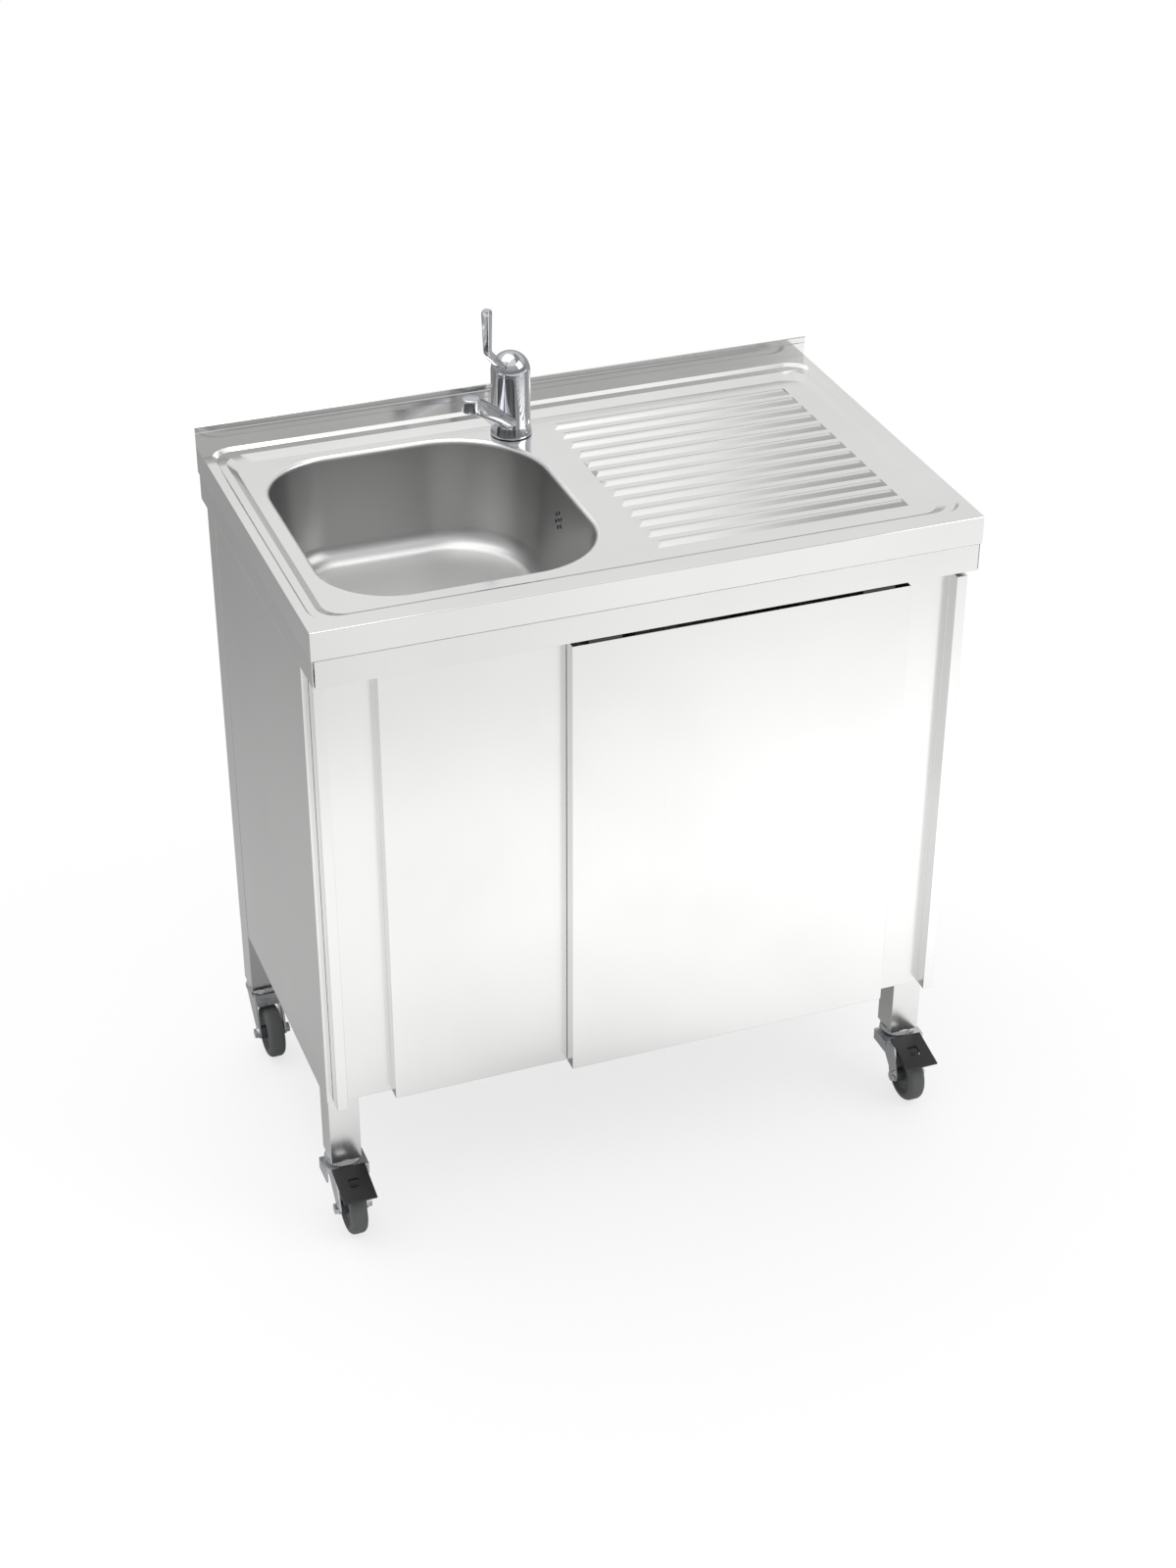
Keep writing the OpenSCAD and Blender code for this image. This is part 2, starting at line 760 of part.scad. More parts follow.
// side view of the spout's arm: a gentle S from the barrel's foot up to the outlet
module spout_side() {
    x = spout_reach;
    z = spout_h;
    polygon([[tap_r - 10, 0.23 * z], [tap_r + 4, 0.25 * z], [tap_r + 13, 0.34 * z], [tap_r + 24, 0.46 * z],
        [x - 15, z - 26], [x + 1 - outlet_r, z - outlet_h + 2], [x, z - outlet_h + 2], [x, z - 1], [x - 6, z - 1.5],
        [x - 24, z - 10], [tap_r + 18, 0.62 * z], [tap_r + 3, 0.47 * z], [tap_r - 4, 0.41 * z],
        [tap_r - 10, 0.38 * z]]);
}

// spout: an arm that narrows from its root to the outlet
module spout() {
    neck = 6.5;
    root = spout_root_w / 2;
    intersection() {
        rotate([90, 0, 0]) linear_extrude(spout_root_w, center = true) spout_side();
        linear_extrude(spout_h) polygon([[0, -root], [tap_r + 2, -root], [spout_reach - 26, -neck],
            [spout_reach, -neck], [spout_reach, neck], [spout_reach - 26, neck], [tap_r + 2, root], [0, root]]);
    }
    translate([spout_reach, 0, spout_h - outlet_h]) rotate_extrude($fn = 48)
        polygon([[0, 0], [outlet_r, 0], [outlet_r, outlet_h - 2.5], [outlet_r - 0.8, outlet_h - 0.8],
            [outlet_r - 2.5, outlet_h], [0, outlet_h]]);
}

module tap_body() {
    color(chrome) at_tap() difference() {
        union() {
            tap_barrel();
            spout();
            translate([0, 0, shank_z - floor_z]) cylinder(r = shank_r, h = floor_z - shank_z + 2);
        }
        // seat of the cartridge
        translate([0, 0, tap_h - seat_depth]) cylinder(r = seat_r, h = seat_depth + spigot_h + 1);
        // water way through the shank
        translate([0, 0, shank_z - floor_z - 1])
            cylinder(r = supply_r, h = tap_h - seat_depth - 3 - shank_z + floor_z);
        // seat of the aerator
        translate([spout_reach, 0, spout_h - outlet_h - 1]) cylinder(r = outlet_r - 2, h = aerator_h);
    }
}

// cap of the mixer: a bearing collar below, a chamber above, and the lever's slot
module tap_dome() {
    i = tap_r - dome_wall;
    collar = spigot_h + 1;
    low = asin(collar / i);
    steps = 8;
    edge = lever_half + slot_play;
    far = 2 * tap_r;
    color(chrome) at_tap() translate([0, 0, tap_h]) difference() {
        rotate_extrude($fn = 64) polygon(concat([[tap_r, dome_seam]],
            [for (k = [1 : steps]) tap_r * [cos(k * 84 / steps), sin(k * 84 / steps)]],
            [[0, tap_r * sin(84)], [0, i * sin(84)]],
            [for (k = [0 : steps]) i * [cos(84 - k * (84 - low) / steps), sin(84 - k * (84 - low) / steps)]],
            [[spigot_r + pin_gap, collar], [spigot_r + pin_gap, dome_seam]]));
        // the slot, from under the closed lever up to over the open one
        translate([0, 0, pin_rise]) rotate([90, 0, 0])
            linear_extrude(lever_root_w + 2 * slot_play, center = true)
            polygon([[0, -edge], [far, -edge], [far, far * tan(lever_lift + 2) + edge], [0, edge]]);
        translate([0, 0, pin_rise]) rotate([90, 0, 0])
            cylinder(r = lever_pin_r, h = 2 * pin_half + 0.2, center = true);
    }
}

// pin across the dome that the lever tilts on
module lever_pin() {
    color(zinc) at_tap() translate([0, 0, tap_h + pin_rise]) rotate([90, 0, 0])
        cylinder(r = lever_pin_r, h = 2 * pin_half, center = true);
}

// side view of the lever: level through the dome, up to the bend, then upright
module lever_side() {
    x = lever_reach;
    z = lever_rise;
    t = lever_half;
    tip = lever_tip / 2;
    polygon([[0, -t], [lever_knee + 1.5, -t], [x + 2.5, z - 3.5], [x + 4.2, z - 1.5],
        [x + 1 + tip, z + lever_grip - 1.5], [x + 0.5 + tip, z + lever_grip],
        [x + 1 - tip, z + lever_grip + 2], [x - tip, z + lever_grip + 1], [x - 3.6, z + 3.4],
        [lever_knee - 1.5, t], [0, t]]);
}

// lever: a hub on the pin, and an arm that narrows from its foot to the grip
module tap_lever() {
    w = lever_root_w / 2;
    g = lever_t / 2;
    far = lever_reach + lever_tip;
    tall = lever_rise + lever_grip + 10;
    color(chrome) at_tap() translate([0, 0, tap_h + pin_rise]) difference() {
        union() {
            rotate([90, 0, 0]) cylinder(r = lever_hub_r, h = 2 * w, center = true);
            intersection() {
                rotate([90, 0, 0]) linear_extrude(2 * w, center = true) lever_side();
                translate([0, 0, -lever_hub_r]) linear_extrude(tall) polygon([[0, -w],
                    [lever_knee + 4, -w], [lever_reach - 12, -g], [far, -g], [far, g],
                    [lever_reach - 12, g], [lever_knee + 4, w], [0, w]]);
            }
        }
        rotate([90, 0, 0]) cylinder(r = lever_pin_r + pin_gap, h = 3 * w, center = true);
    }
}

// mixing cartridge in the body's seat, under the lever's hub
module tap_cartridge() {
    z = tap_h + spigot_h - 0.5;
    color(white_plastic) at_tap() {
        translate([0, 0, tap_h - seat_depth]) cylinder(r = seat_r - 0.1, h = seat_depth - 2);
        translate([0, 0, tap_h - 2 - eps]) cylinder(r = 3, h = z - tap_h + 2);
    }
}

module tap_aerator() {
    color(zinc) at_tap() translate([spout_reach, 0, spout_h - outlet_h - 2]) difference() {
        cylinder(r = outlet_r - 2.05, h = aerator_h + 1);
        for (a = [0 : 60 : 300]) rotate([0, 0, a]) translate([4.2, 0, -1]) cylinder(r = 1.1, h = 6, $fn = 16);
        translate([0, 0, -1]) cylinder(r = 1.3, h = 6, $fn = 16);
    }
}

// flat gasket between the foot and the worktop
module tap_gasket() {
    color(rubber) at_tap() tube(tap_foot_r - 1.5, shank_r + 0.3, gasket_t);
}

// horseshoe washer and nut under the worktop
module tap_nut() {
    color(zinc) at_tap() translate([0, 0, under_z - floor_z]) {
        translate([0, 0, -3]) tube(24, shank_r + pin_gap, 3);
        translate([0, 0, -15]) difference() {
            cylinder(r = 23, h = 12 + eps, $fn = 6);
            translate([0, 0, -1]) cylinder(r = shank_r + pin_gap, h = 20);
        }
    }
}

// Waste, overflow and tanks

module at_drain() {
    translate([bowl_mid[0], bowl_mid[1], 0]) children();
}

// strainer in the drain: a dished flange and a throat with a grid of holes
module strainer() {
    r = drain_r - 1;
    color(steel) at_drain() translate([0, 0, bowl_floor_z + seal_t]) difference() {
        rotate_extrude($fn = 64) polygon([[0, -7], [r - 1, -7], [r - 1, -4], [r, -4], [r, 0],
            [r + 8, 0], [r + 8, 0.8], [r + 2, 1.8], [r - 1.5, 1.2], [r - 4, -5.5], [0, -5.5]]);
        for (ring = [1, 2], i = [0 : 6 * ring - 1]) rotate([0, 0, 60 * i / ring])
            translate([8.5 * ring, 0, -8]) cylinder(r = 2.6, h = 4, $fn = 20);
        translate([0, 0, -8]) cylinder(r = 3, h = 4, $fn = 20);
    }
}

// waste fitting under the bowl, with its spigot and the port for the overflow
module waste_body() {
    x = drain_r + 1;
    color(white_plastic) at_drain() difference() {
        union() {
            translate([0, 0, waste_top_z - 5]) cylinder(r = drain_r + 11, h = 5);
            translate([0, 0, waste_z]) cylinder(r = drain_r + 3, h = waste_top_z - waste_z - 4);
            translate([0, 0, spigot_z]) cylinder(r = pipe_r + 3, h = waste_z - spigot_z + 1);
            translate([0, overflow_y - bowl_mid[1], overflow_port_z]) rotate([0, 90, 0])
                cylinder(r = overflow_r, h = drain_r + 14);
        }
        translate([0, 0, waste_z + 3]) cylinder(r = drain_r, h = waste_top_z - waste_z);
        translate([0, 0, waste_z - 2]) cylinder(r = pipe_r - pipe_wall, h = 10);
        translate([0, 0, spigot_z - 1]) cylinder(r = pipe_r, h = waste_z - spigot_z);
        translate([x - 10, overflow_y - bowl_mid[1], overflow_port_z]) rotate([0, 90, 0])
            cylinder(r = overflow_r - pipe_wall, h = 2 * drain_r);
    }
}

// ribbed nut that clamps the drain pipe in the spigot
module waste_nut() {
    r = pipe_r + 3;
    color(white_plastic) at_drain() translate([0, 0, spigot_z + 1]) difference() {
        union() {
            cylinder(r = r + 4, h = 13);
            for (a = [0 : 30 : 330]) rotate([0, 0, a]) translate([r + 3, -2, 0]) cube([3, 4, 13]);
        }
        translate([0, 0, -1]) cylinder(r = r, h = 15);
    }
}

module drain_pipe() {
    z = tank_top_z - 25;
    color(white_plastic) at_drain() translate([0, 0, z])
        tube(pipe_r, pipe_r - pipe_wall, waste_z - 1 - z);
}

// x of the bowl's outer wall at the height of the overflow
overflow_wall_x = bowl_hi[0] + bowl_sheet
    - bowl_draft * (wall_top_z - overflow_z) / (wall_top_z - bowl_floor_z - bowl_fillet);
overflow_x = overflow_wall_x + 4 + overflow_r;

// housing on the bowl's wall behind the overflow holes, open downwards
module overflow_housing() {
    x = overflow_wall_x;
    w = 2 * overflow_r + 4;
    lean = atan(bowl_draft / (wall_top_z - bowl_floor_z - bowl_fillet));
    color(white_plastic) difference() {
        union() {
            translate([x, overflow_y, overflow_z]) rotate([0, 90 + lean, 0]) translate([0, 0, seal_t])
                cylinder(r = 20, h = 8);
            block([x + 4, overflow_y - w / 2, overflow_z - 32], [x + 4 + w, overflow_y + w / 2, overflow_z + 6]);
        }
        translate([x, overflow_y, overflow_z]) rotate([0, 90 + lean, 0]) translate([0, 0, -1])
            cylinder(r = 14, h = 7);
        translate([overflow_x, overflow_y, overflow_z - 33]) cylinder(r = overflow_r, h = 12);
        translate([overflow_x, overflow_y, overflow_z - 33]) cylinder(r = overflow_r - pipe_wall, h = 34);
    }
}

// overflow pipe: down beside the bowl and back to the waste fitting
module overflow_pipe() {
    r = overflow_r;
    i = overflow_r - pipe_wall;
    b = overflow_bend;
    z0 = overflow_z - 22;
    x1 = bowl_mid[0] + drain_r + 14;
    color(white_plastic) translate([overflow_x, overflow_y, 0]) {
        translate([0, 0, overflow_port_z + b]) tube(r, i, z0 - overflow_port_z - b);
        translate([0, 0, overflow_port_z + b]) rotate([180, 0, 180]) bend(r, i, b);
        translate([-b, 0, overflow_port_z]) rotate([0, -90, 0]) tube(r, i, overflow_x - b - x1);
    }
}

// blow-moulded tank with round edges, a chamfered shoulder and a neck
module tank(pos, neck) {
    w = tank_w / 2 - tank_r;
    d = tank_d / 2 - tank_r;
    shoulder = 14;
    color(tank_plastic) {
        difference() {
            translate([pos[0], pos[1], tank_z]) hull() for (sx = [-1, 1], sy = [-1, 1])
                translate([sx * w, sy * d, 0]) {
                    cylinder(r = tank_r - 3, h = eps, $fn = 32);
                    translate([0, 0, 4]) cylinder(r = tank_r, h = tank_h - 4 - shoulder, $fn = 32);
                    cylinder(r = tank_r - shoulder, h = tank_h, $fn = 32);
                }
            // two moulded waist grooves
            for (z = [tank_z + tank_h / 3, tank_z + 2 * tank_h / 3])
                for (s = [-1, 1]) {
                    translate([pos[0] + s * tank_w / 2, pos[1], z]) rotate([90, 0, 0])
                        cylinder(r = 5, h = tank_d - 3 * tank_r, center = true, $fn = 24);
                    translate([pos[0], pos[1] + s * tank_d / 2, z]) rotate([0, 90, 0])
                        cylinder(r = 5, h = tank_w - 3 * tank_r, center = true, $fn = 24);
                }
            translate([neck[0], neck[1], tank_top_z - 2 * neck_h]) cylinder(r = neck_r - 4, h = 3 * neck_h);
        }
        translate([neck[0], neck[1], tank_top_z - eps]) tube(neck_r, neck_r - 4, neck_h);
    }
}

// the two screw caps: one lets the drain pipe in, the other carries the pump
module tank_caps() {
    r = neck_r + 4;
    for (c = [[waste_tank_pos, pipe_r + 0.3], [fresh_neck, suction_r + 0.3]])
        color(black) translate([c[0][0], c[0][1], tank_top_z]) difference() {
            union() {
                cylinder(r = r, h = cap_h);
                for (a = [0 : 20 : 340]) rotate([0, 0, a]) translate([r - 1, -1.5, 0]) cube([2.5, 3, cap_h - 3]);
            }
            translate([0, 0, -1]) cylinder(r = neck_r + 0.1, h = neck_h + 1);
            cylinder(r = c[1], h = cap_h + 1);
        }
}

// pump on the fresh tank's cap, with its suction pipe down into the tank's neck
module pump() {
    color(steel_dark) translate([fresh_neck[0], fresh_neck[1], pump_z]) {
        rotate_extrude($fn = 48) polygon([[0, 0], [pump_r - 4, 0], [pump_r, 4], [pump_r, pump_band_z],
            [pump_r - 2, pump_band_z], [pump_r - 2, pump_band_z + pump_band_h],
            [pump_r, pump_band_z + pump_band_h], [pump_r, pump_h - 14],
            [pump_r - 8, pump_h - 4], [12, pump_h], [0, pump_h]]);
        translate([0, 0, -cap_h - suction_len]) cylinder(r = suction_r, h = cap_h + suction_len + eps);
    }
}

// supply pipe from the pump up, across and up again to the tap's shank
module supply_pipe() {
    r = supply_r + 2;
    i = supply_r - 1;
    b = supply_bend;
    z0 = pump_z + pump_h;
    run = fresh_neck[0] - tap_x - 2 * b;
    color(steel_dark) {
        translate([fresh_neck[0], tap_y, z0]) tube(r, i, supply_z - b - z0);
        translate([fresh_neck[0], tap_y, supply_z - b]) mirror([1, 0, 0]) bend(r, i, b);
        translate([fresh_neck[0] - b, tap_y, supply_z]) rotate([0, -90, 0]) tube(r, i, run);
        translate([tap_x, tap_y, supply_z + b]) mirror([0, 0, 1]) bend(r, i, b);
        translate([tap_x, tap_y, supply_z + b]) tube(r, i, shank_z - supply_z - b);
    }
}

// Castors, drawn with the swivel axis at the origin and the wheel towards -Y

// plug in the leg, the round cup under it and the kingpin
module stem() {
    s = leg_w - 2 * leg_wall - 0.4;
    color(zinc) {
        translate([-s / 2, -s / 2, leg_z - eps]) cube([s, s, plug_h]);
        difference() {
            rotate_extrude($fn = 64) polygon([[0, cup_z], [head_r - 2, cup_z], [head_r, cup_z + 2],
                [head_r + cup_lip, cup_z + 5], [head_r - 1, leg_z], [0, leg_z]]);
            // ball groove
            translate([0, 0, cup_z]) rotate_extrude($fn = 48) translate([head_r - 7, 0]) circle(r = 2, $fn = 16);
        }
        translate([0, 0, crown_z - 4]) cylinder(r = king_r, h = leg_z - crown_z + 6);
        translate([0, 0, crown_z - 3.2]) cylinder(r = king_r + 3, h = 2.8, $fn = 24);
    }
}

module castor_stems() {
    for (x = [-leg_x, leg_x], y = [leg_y_front, leg_y_rear]) translate([x, y, 0]) stem();
}

// outline of a fork plate, in the plane of the wheel: narrow at the axle, wide at the crown
module fork_outline(brake) {
    front = brake ? head_r : fork_front;
    hull() {
        translate([-trail, axle_z]) circle(r = 8);
        translate([-front, crown_z - 8]) square([8, 8 + crown_t]);
        translate([fork_back - 8, crown_z - 5]) square([8, 5 + crown_t]);
        if (brake) translate([-pivot_y, pivot_z]) circle(r = lug_r);
    }
    // ear beside the cup
    if (!brake) translate([-front, crown_z]) square([7, ear_top_z - crown_z]);
}

// front of a fork without a brake: a web with two dimples, and a lip over the tyre
module fork_face() {
    lip_z = wheel_d + 5;
    y = fork_t - fork_front;
    difference() {
        block([-fork_out, -fork_front, lip_z], [fork_out, y, ear_top_z]);
        for (x = [-7, 7]) translate([x, -fork_front, lip_z + 6]) rotate([90, 0, 0]) cylinder(r = 1.8, h = 2, center = true);
    }
    block([-fork_in, -fork_front - 5, lip_z], [fork_in, y, lip_z + 2]);
}

// shoulders of a braked fork, which reach out past the leg; s is -1 on the left
module fork_shoulder(s) {
    x = fork_out + shoulder_w;
    y = fork_back - 4;
    mirror([s < 0 ? 1 : 0, 0, 0]) {
        block([fork_in, -head_r, crown_top_z - fork_t], [x, y, crown_top_z]);
        block([x - fork_t, -head_r, crown_top_z - shoulder_drop], [x, y, crown_top_z]);
    }
}

// stamped fork: crown, two side plates, and either the pedal's pin or a closed front
module fork(brake) {
    front = brake ? head_r : fork_front;
    color(zinc) difference() {
        union() {
            block([-fork_out, -front, crown_z], [fork_out, fork_back, crown_top_z]);
            for (x = [-fork_out, fork_in]) translate([x, 0, 0]) rotate([90, 0, 90])
                linear_extrude(fork_t) fork_outline(brake);
            if (brake) translate([0, -pivot_y, pivot_z]) rotate([0, 90, 0])
                cylinder(r = pivot_r, h = 2 * fork_out, center = true);
            if (brake) for (s = [-1, 1]) fork_shoulder(s);
            if (!brake) fork_face();
        }
        translate([0, 0, crown_z - 1]) cylinder(r = king_r + pin_gap, h = crown_t + 2);
        translate([0, -trail, axle_z]) rotate([0, 90, 0]) cylinder(r = axle_r, h = 3 * fork_out, center = true);
    }
}

// axle bolt with its hexagon head and nut
module axle() {
    color(zinc) translate([0, -trail, axle_z]) rotate([0, 90, 0]) {
        cylinder(r = axle_r, h = 2 * (fork_out + axle_out) - 1, center = true);
        for (s = [-1, 1]) translate([0, 0, s * (fork_out + axle_out / 2)])
            cylinder(r = 7, h = axle_out, center = true, $fn = 6);
    }
}

// wheel centre with its dished sides
module hub() {
    w = wheel_w / 2;
    g = fork_in - 0.4;
    color(rubber) translate([0, -trail, axle_z]) rotate([0, 90, 0]) rotate_extrude($fn = 64)
        polygon([[axle_r + pin_gap, -g], [9, -g], [9, -w + 4], [hub_r - 3, -w + 4],
            [hub_r, -w + 1.5], [hub_r, w - 1.5], [hub_r - 3, w - 4], [9, w - 4], [9, g],
            [axle_r + pin_gap, g]]);
}

// solid tyre with a rounded tread
module tyre() {
    w = wheel_w / 2;
    r = wheel_d / 2;
    color(rubber) translate([0, -trail, axle_z]) rotate([0, 90, 0]) rotate_extrude($fn = 72)
        polygon(concat([[hub_r, -w + 1.5], [hub_r + 1, -w]],
            [for (a = [-75 : 15 : 75]) [r - 7 + 7 * cos(a), (w - 7) * sign(a) + 7 * sin(a)]],
            [[hub_r + 1, w], [hub_r, w - 1.5]]));
}

// brake pedal: a sloping plate with a window, two ears on the pin and a shoe over the tyre
module pedal() {
    w = pedal_w / 2;
    run = pedal_tip - pedal_back;
    slope = atan2(pedal_fall, run);
    long = (run - pedal_t * sin(slope)) / cos(slope);
    mid = -long / 2;
    shoe_z = wheel_d + shoe_gap;
    // height of the plate's underside at y
    function under(y) = pedal_z + (y + pedal_back) * tan(slope);
    color(black) difference() {
        union() {
            translate([0, -pedal_back, pedal_z]) rotate([slope, 0, 0]) difference() {
                block([-w, -long, 0], [w, 0, pedal_t]);
                block([-window_w / 2, mid - window_l / 2, -1], [window_w / 2, mid + window_l / 2, pedal_t + 1]);
            }
            for (x = [-fork_in + 1, fork_in - 5]) hull() {
                translate([x, -pivot_y, pivot_z]) rotate([0, 90, 0]) cylinder(r = ear_r, h = 4);
                block([x, -pivot_y - 4, pedal_z - 2], [x + 4, -pedal_back - 0.5, pedal_z + 0.4]);
            }
            // shoe that meets the tread when the pedal is down
            translate([-8, 0, 0]) rotate([90, 0, 90]) linear_extrude(16) polygon([[-trail - 10, shoe_z],
                [-trail + 4, shoe_z], [-trail + 4, under(4 - trail) + 0.5],
                [-trail - 10, under(-trail - 10) + 0.5]]);
        }
        translate([0, -pivot_y, pivot_z]) rotate([0, 90, 0])
            cylinder(r = pivot_r + pin_gap, h = 3 * fork_out, center = true);
    }
}

module at_castor(sx, y) {
    translate([sx * leg_x, y, 0]) children();
}

worktop();
bowl();
fascia_frame();
drainer_stiffener();
leg(-leg_x, leg_y_front);  // leg_front_left
leg(leg_x, leg_y_front);  // leg_front_right
leg(-leg_x, leg_y_rear);  // leg_rear_left
leg(leg_x, leg_y_rear);  // leg_rear_right
mirror([1, 0, 0]) side_panel();  // side_panel_left
side_panel();  // side_panel_right
rear_panel();
bottom_shelf();
door_track();
door_guide();
at_left_door() door_panel();  // left_door_panel
at_left_door() door_back();  // left_door_back
at_left_door() door_glides();  // left_door_glides
at_right_door() door_panel();  // right_door_panel
at_right_door() door_back();  // right_door_back
at_right_door() door_glides();  // right_door_glides
tap_body();
tap_dome();
tap_lever();
lever_pin();
tap_cartridge();
tap_aerator();
tap_gasket();
tap_nut();
strainer();
waste_body();
waste_nut();
drain_pipe();
overflow_housing();
overflow_pipe();
tank(waste_tank_pos, waste_tank_pos);  // waste_tank
tank(fresh_tank_pos, fresh_neck);  // fresh_tank
tank_caps();
pump();
supply_pipe();
castor_stems();
at_castor(-1, leg_y_front) fork(true);  // fork_front_left
at_castor(1, leg_y_front) fork(true);  // fork_front_right
at_castor(-1, leg_y_rear) fork(false);  // fork_rear_left
at_castor(1, leg_y_rear) fork(false);  // fork_rear_right
at_castor(-1, leg_y_front) axle();  // axle_front_left
at_castor(1, leg_y_front) axle();  // axle_front_right
at_castor(-1, leg_y_rear) axle();  // axle_rear_left
at_castor(1, leg_y_rear) axle();  // axle_rear_right
at_castor(-1, leg_y_front) hub();  // hub_front_left
at_castor(1, leg_y_front) hub();  // hub_front_right
at_castor(-1, leg_y_rear) hub();  // hub_rear_left
at_castor(1, leg_y_rear) hub();  // hub_rear_right
at_castor(-1, leg_y_front) tyre();  // tyre_front_left
at_castor(1, leg_y_front) tyre();  // tyre_front_right
at_castor(-1, leg_y_rear) tyre();  // tyre_rear_left
at_castor(1, leg_y_rear) tyre();  // tyre_rear_right
at_castor(-1, leg_y_front) pedal();  // pedal_left
at_castor(1, leg_y_front) pedal();  // pedal_right
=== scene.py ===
# %% [markdown]
# # A portable clinic sink, dressed in Blender
# The CAD model gives every piece its place and its size. This file gives the pieces their finish: satin
# and brushed stainless sheet, polished chrome, zinc plate, rubber and moulded plastics. Where a form
# needs softer edges than the CAD solid has, it models that form again in the same place.

# %% The frame
import json
import math

import bmesh
import bpy
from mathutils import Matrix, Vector


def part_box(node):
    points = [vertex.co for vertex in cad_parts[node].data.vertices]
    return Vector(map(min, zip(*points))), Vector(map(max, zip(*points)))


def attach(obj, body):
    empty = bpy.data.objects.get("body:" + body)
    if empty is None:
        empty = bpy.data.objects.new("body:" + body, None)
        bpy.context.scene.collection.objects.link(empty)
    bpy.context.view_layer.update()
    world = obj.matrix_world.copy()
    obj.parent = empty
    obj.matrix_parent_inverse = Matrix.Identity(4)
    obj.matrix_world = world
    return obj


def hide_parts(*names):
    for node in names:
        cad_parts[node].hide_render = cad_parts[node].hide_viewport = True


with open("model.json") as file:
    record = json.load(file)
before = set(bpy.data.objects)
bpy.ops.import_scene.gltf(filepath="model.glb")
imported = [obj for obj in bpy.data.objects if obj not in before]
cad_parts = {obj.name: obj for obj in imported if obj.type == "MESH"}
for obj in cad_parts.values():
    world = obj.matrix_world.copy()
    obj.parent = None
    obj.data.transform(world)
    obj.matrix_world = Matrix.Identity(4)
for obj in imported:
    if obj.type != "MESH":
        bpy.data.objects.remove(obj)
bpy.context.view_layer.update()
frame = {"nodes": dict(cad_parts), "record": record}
MM = 0.001

# %% [markdown]
# ## Colours and shader nodes
# A product colour is written as people write it for the screen, as an sRGB hex value. Cycles works with
# linear light, so one function turns hex into linear. A second function adds a node, and connects what it
# is given: a socket is linked, anything else is typed in as a value.

# %% Colour and node helpers
WHITE = (1, 1, 1, 1)


def linear(hex_colour):
    channels = [int(hex_colour[i:i + 2], 16) / 255 for i in (1, 3, 5)]
    light = [c / 12.92 if c <= 0.04045 else ((c + 0.055) / 1.055) ** 2.4 for c in channels]
    return (*light, 1.0)


def add_node(tree, kind, inputs=None, **settings):
    new = tree.nodes.new(kind)
    for name, value in settings.items():
        setattr(new, name, value)
    for name, value in (inputs or {}).items():
        if isinstance(value, bpy.types.NodeSocket):
            tree.links.new(value, new.inputs[name])
        else:
            new.inputs[name].default_value = value
    return new


def empty_material(name):
    made = bpy.data.materials.new(name)
    made.use_nodes = True
    made.node_tree.nodes.clear()
    return made, made.node_tree


print("middle grey in linear light:", round(linear("#808080")[0], 3))

# %% [markdown]
# ## The camera
# The photograph looks down at the sink from its front left corner. The angles, the lens and the small
# shift come from fitting the edges of the worktop, the doors and the legs. Blender measures a lens
# against the long side of the picture, which is 1600 pixels high here. The camera's place is counted from
# the worktop's front left corner, so the camera follows the sink if its size changes.

# %% Camera
IMAGE_HEIGHT = 1600
FOCAL_PIXELS = 2789.5
SENSOR = 36
AZIMUTH = math.radians(-20.435)
ELEVATION = math.radians(32.684)
SHIFT_RIGHT, SHIFT_UP = 0.0081, 0.0243
CAMERA_FROM_CORNER = Vector((-0.6234, -2.4793, 1.394))
WORKTOP_HEIGHT = 860 * MM
camera_data = bpy.data.cameras.new("product camera")
camera_data.sensor_width = SENSOR
camera_data.lens = FOCAL_PIXELS / IMAGE_HEIGHT * SENSOR
camera_data.shift_x = SHIFT_RIGHT
camera_data.shift_y = SHIFT_UP
camera = bpy.data.objects.new("product camera", camera_data)
bpy.context.scene.collection.objects.link(camera)
top_low, top_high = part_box("worktop")
camera.location = Vector((top_low.x, top_low.y, WORKTOP_HEIGHT)) + CAMERA_FROM_CORNER
camera.rotation_euler = (math.pi / 2 - ELEVATION, 0, AZIMUTH)
bpy.context.scene.camera = camera
bpy.context.scene.view_settings.view_transform = "Standard"
print("lens", round(camera_data.lens, 2), "mm, camera at", [round(v, 2) for v in camera.location])

# %% [markdown]
# ## The floor
# The photograph has a white ground with a soft, short shadow. The floor is one big disc. Part of its
# light is its own, more of it with the distance, so it is pure white far out and keeps the shadow near
# the castors.
#
# Steel is a mirror of what stands round it: the doors mirror the floor in front of them, and the left
# side mirrors the floor beside and behind it. A photographer would put grey and white cards there. Here
# mirror rays see the floor in other tones than the camera does. It is brightest close in front, which the
# doors mirror, and plainer farther ahead, which the darker skirt mirrors. It is grey behind, for the grey
# left side, and darker to the left and under the sink. Each tone is a fade between two places, and the
# fades multiply.

# %% Floor
FLOOR_RADIUS = 14
OWN_LIGHT = {"From Min": 0.5, "From Max": 1.9, "To Min": 0.72, "To Max": 1.0}
FLOOR_FADES = [  # what is measured, from and to in metres, brightness there
    ("Y", -1.55, -0.95, 1.0, 1.46),
    ("Y", -0.75, 0.25, 1.0, 0.28),
    ("X", -0.3, 0.9, 0.90, 1.10),
    ("distance", 0.36, 0.55, 0.45, 1.0),
]
bpy.ops.mesh.primitive_circle_add(vertices=96, radius=FLOOR_RADIUS, fill_type="NGON", location=(0, 0, 0))
floor = bpy.context.object
floor.name = "studio_floor"
print("floor", 2 * FLOOR_RADIUS, "m wide")

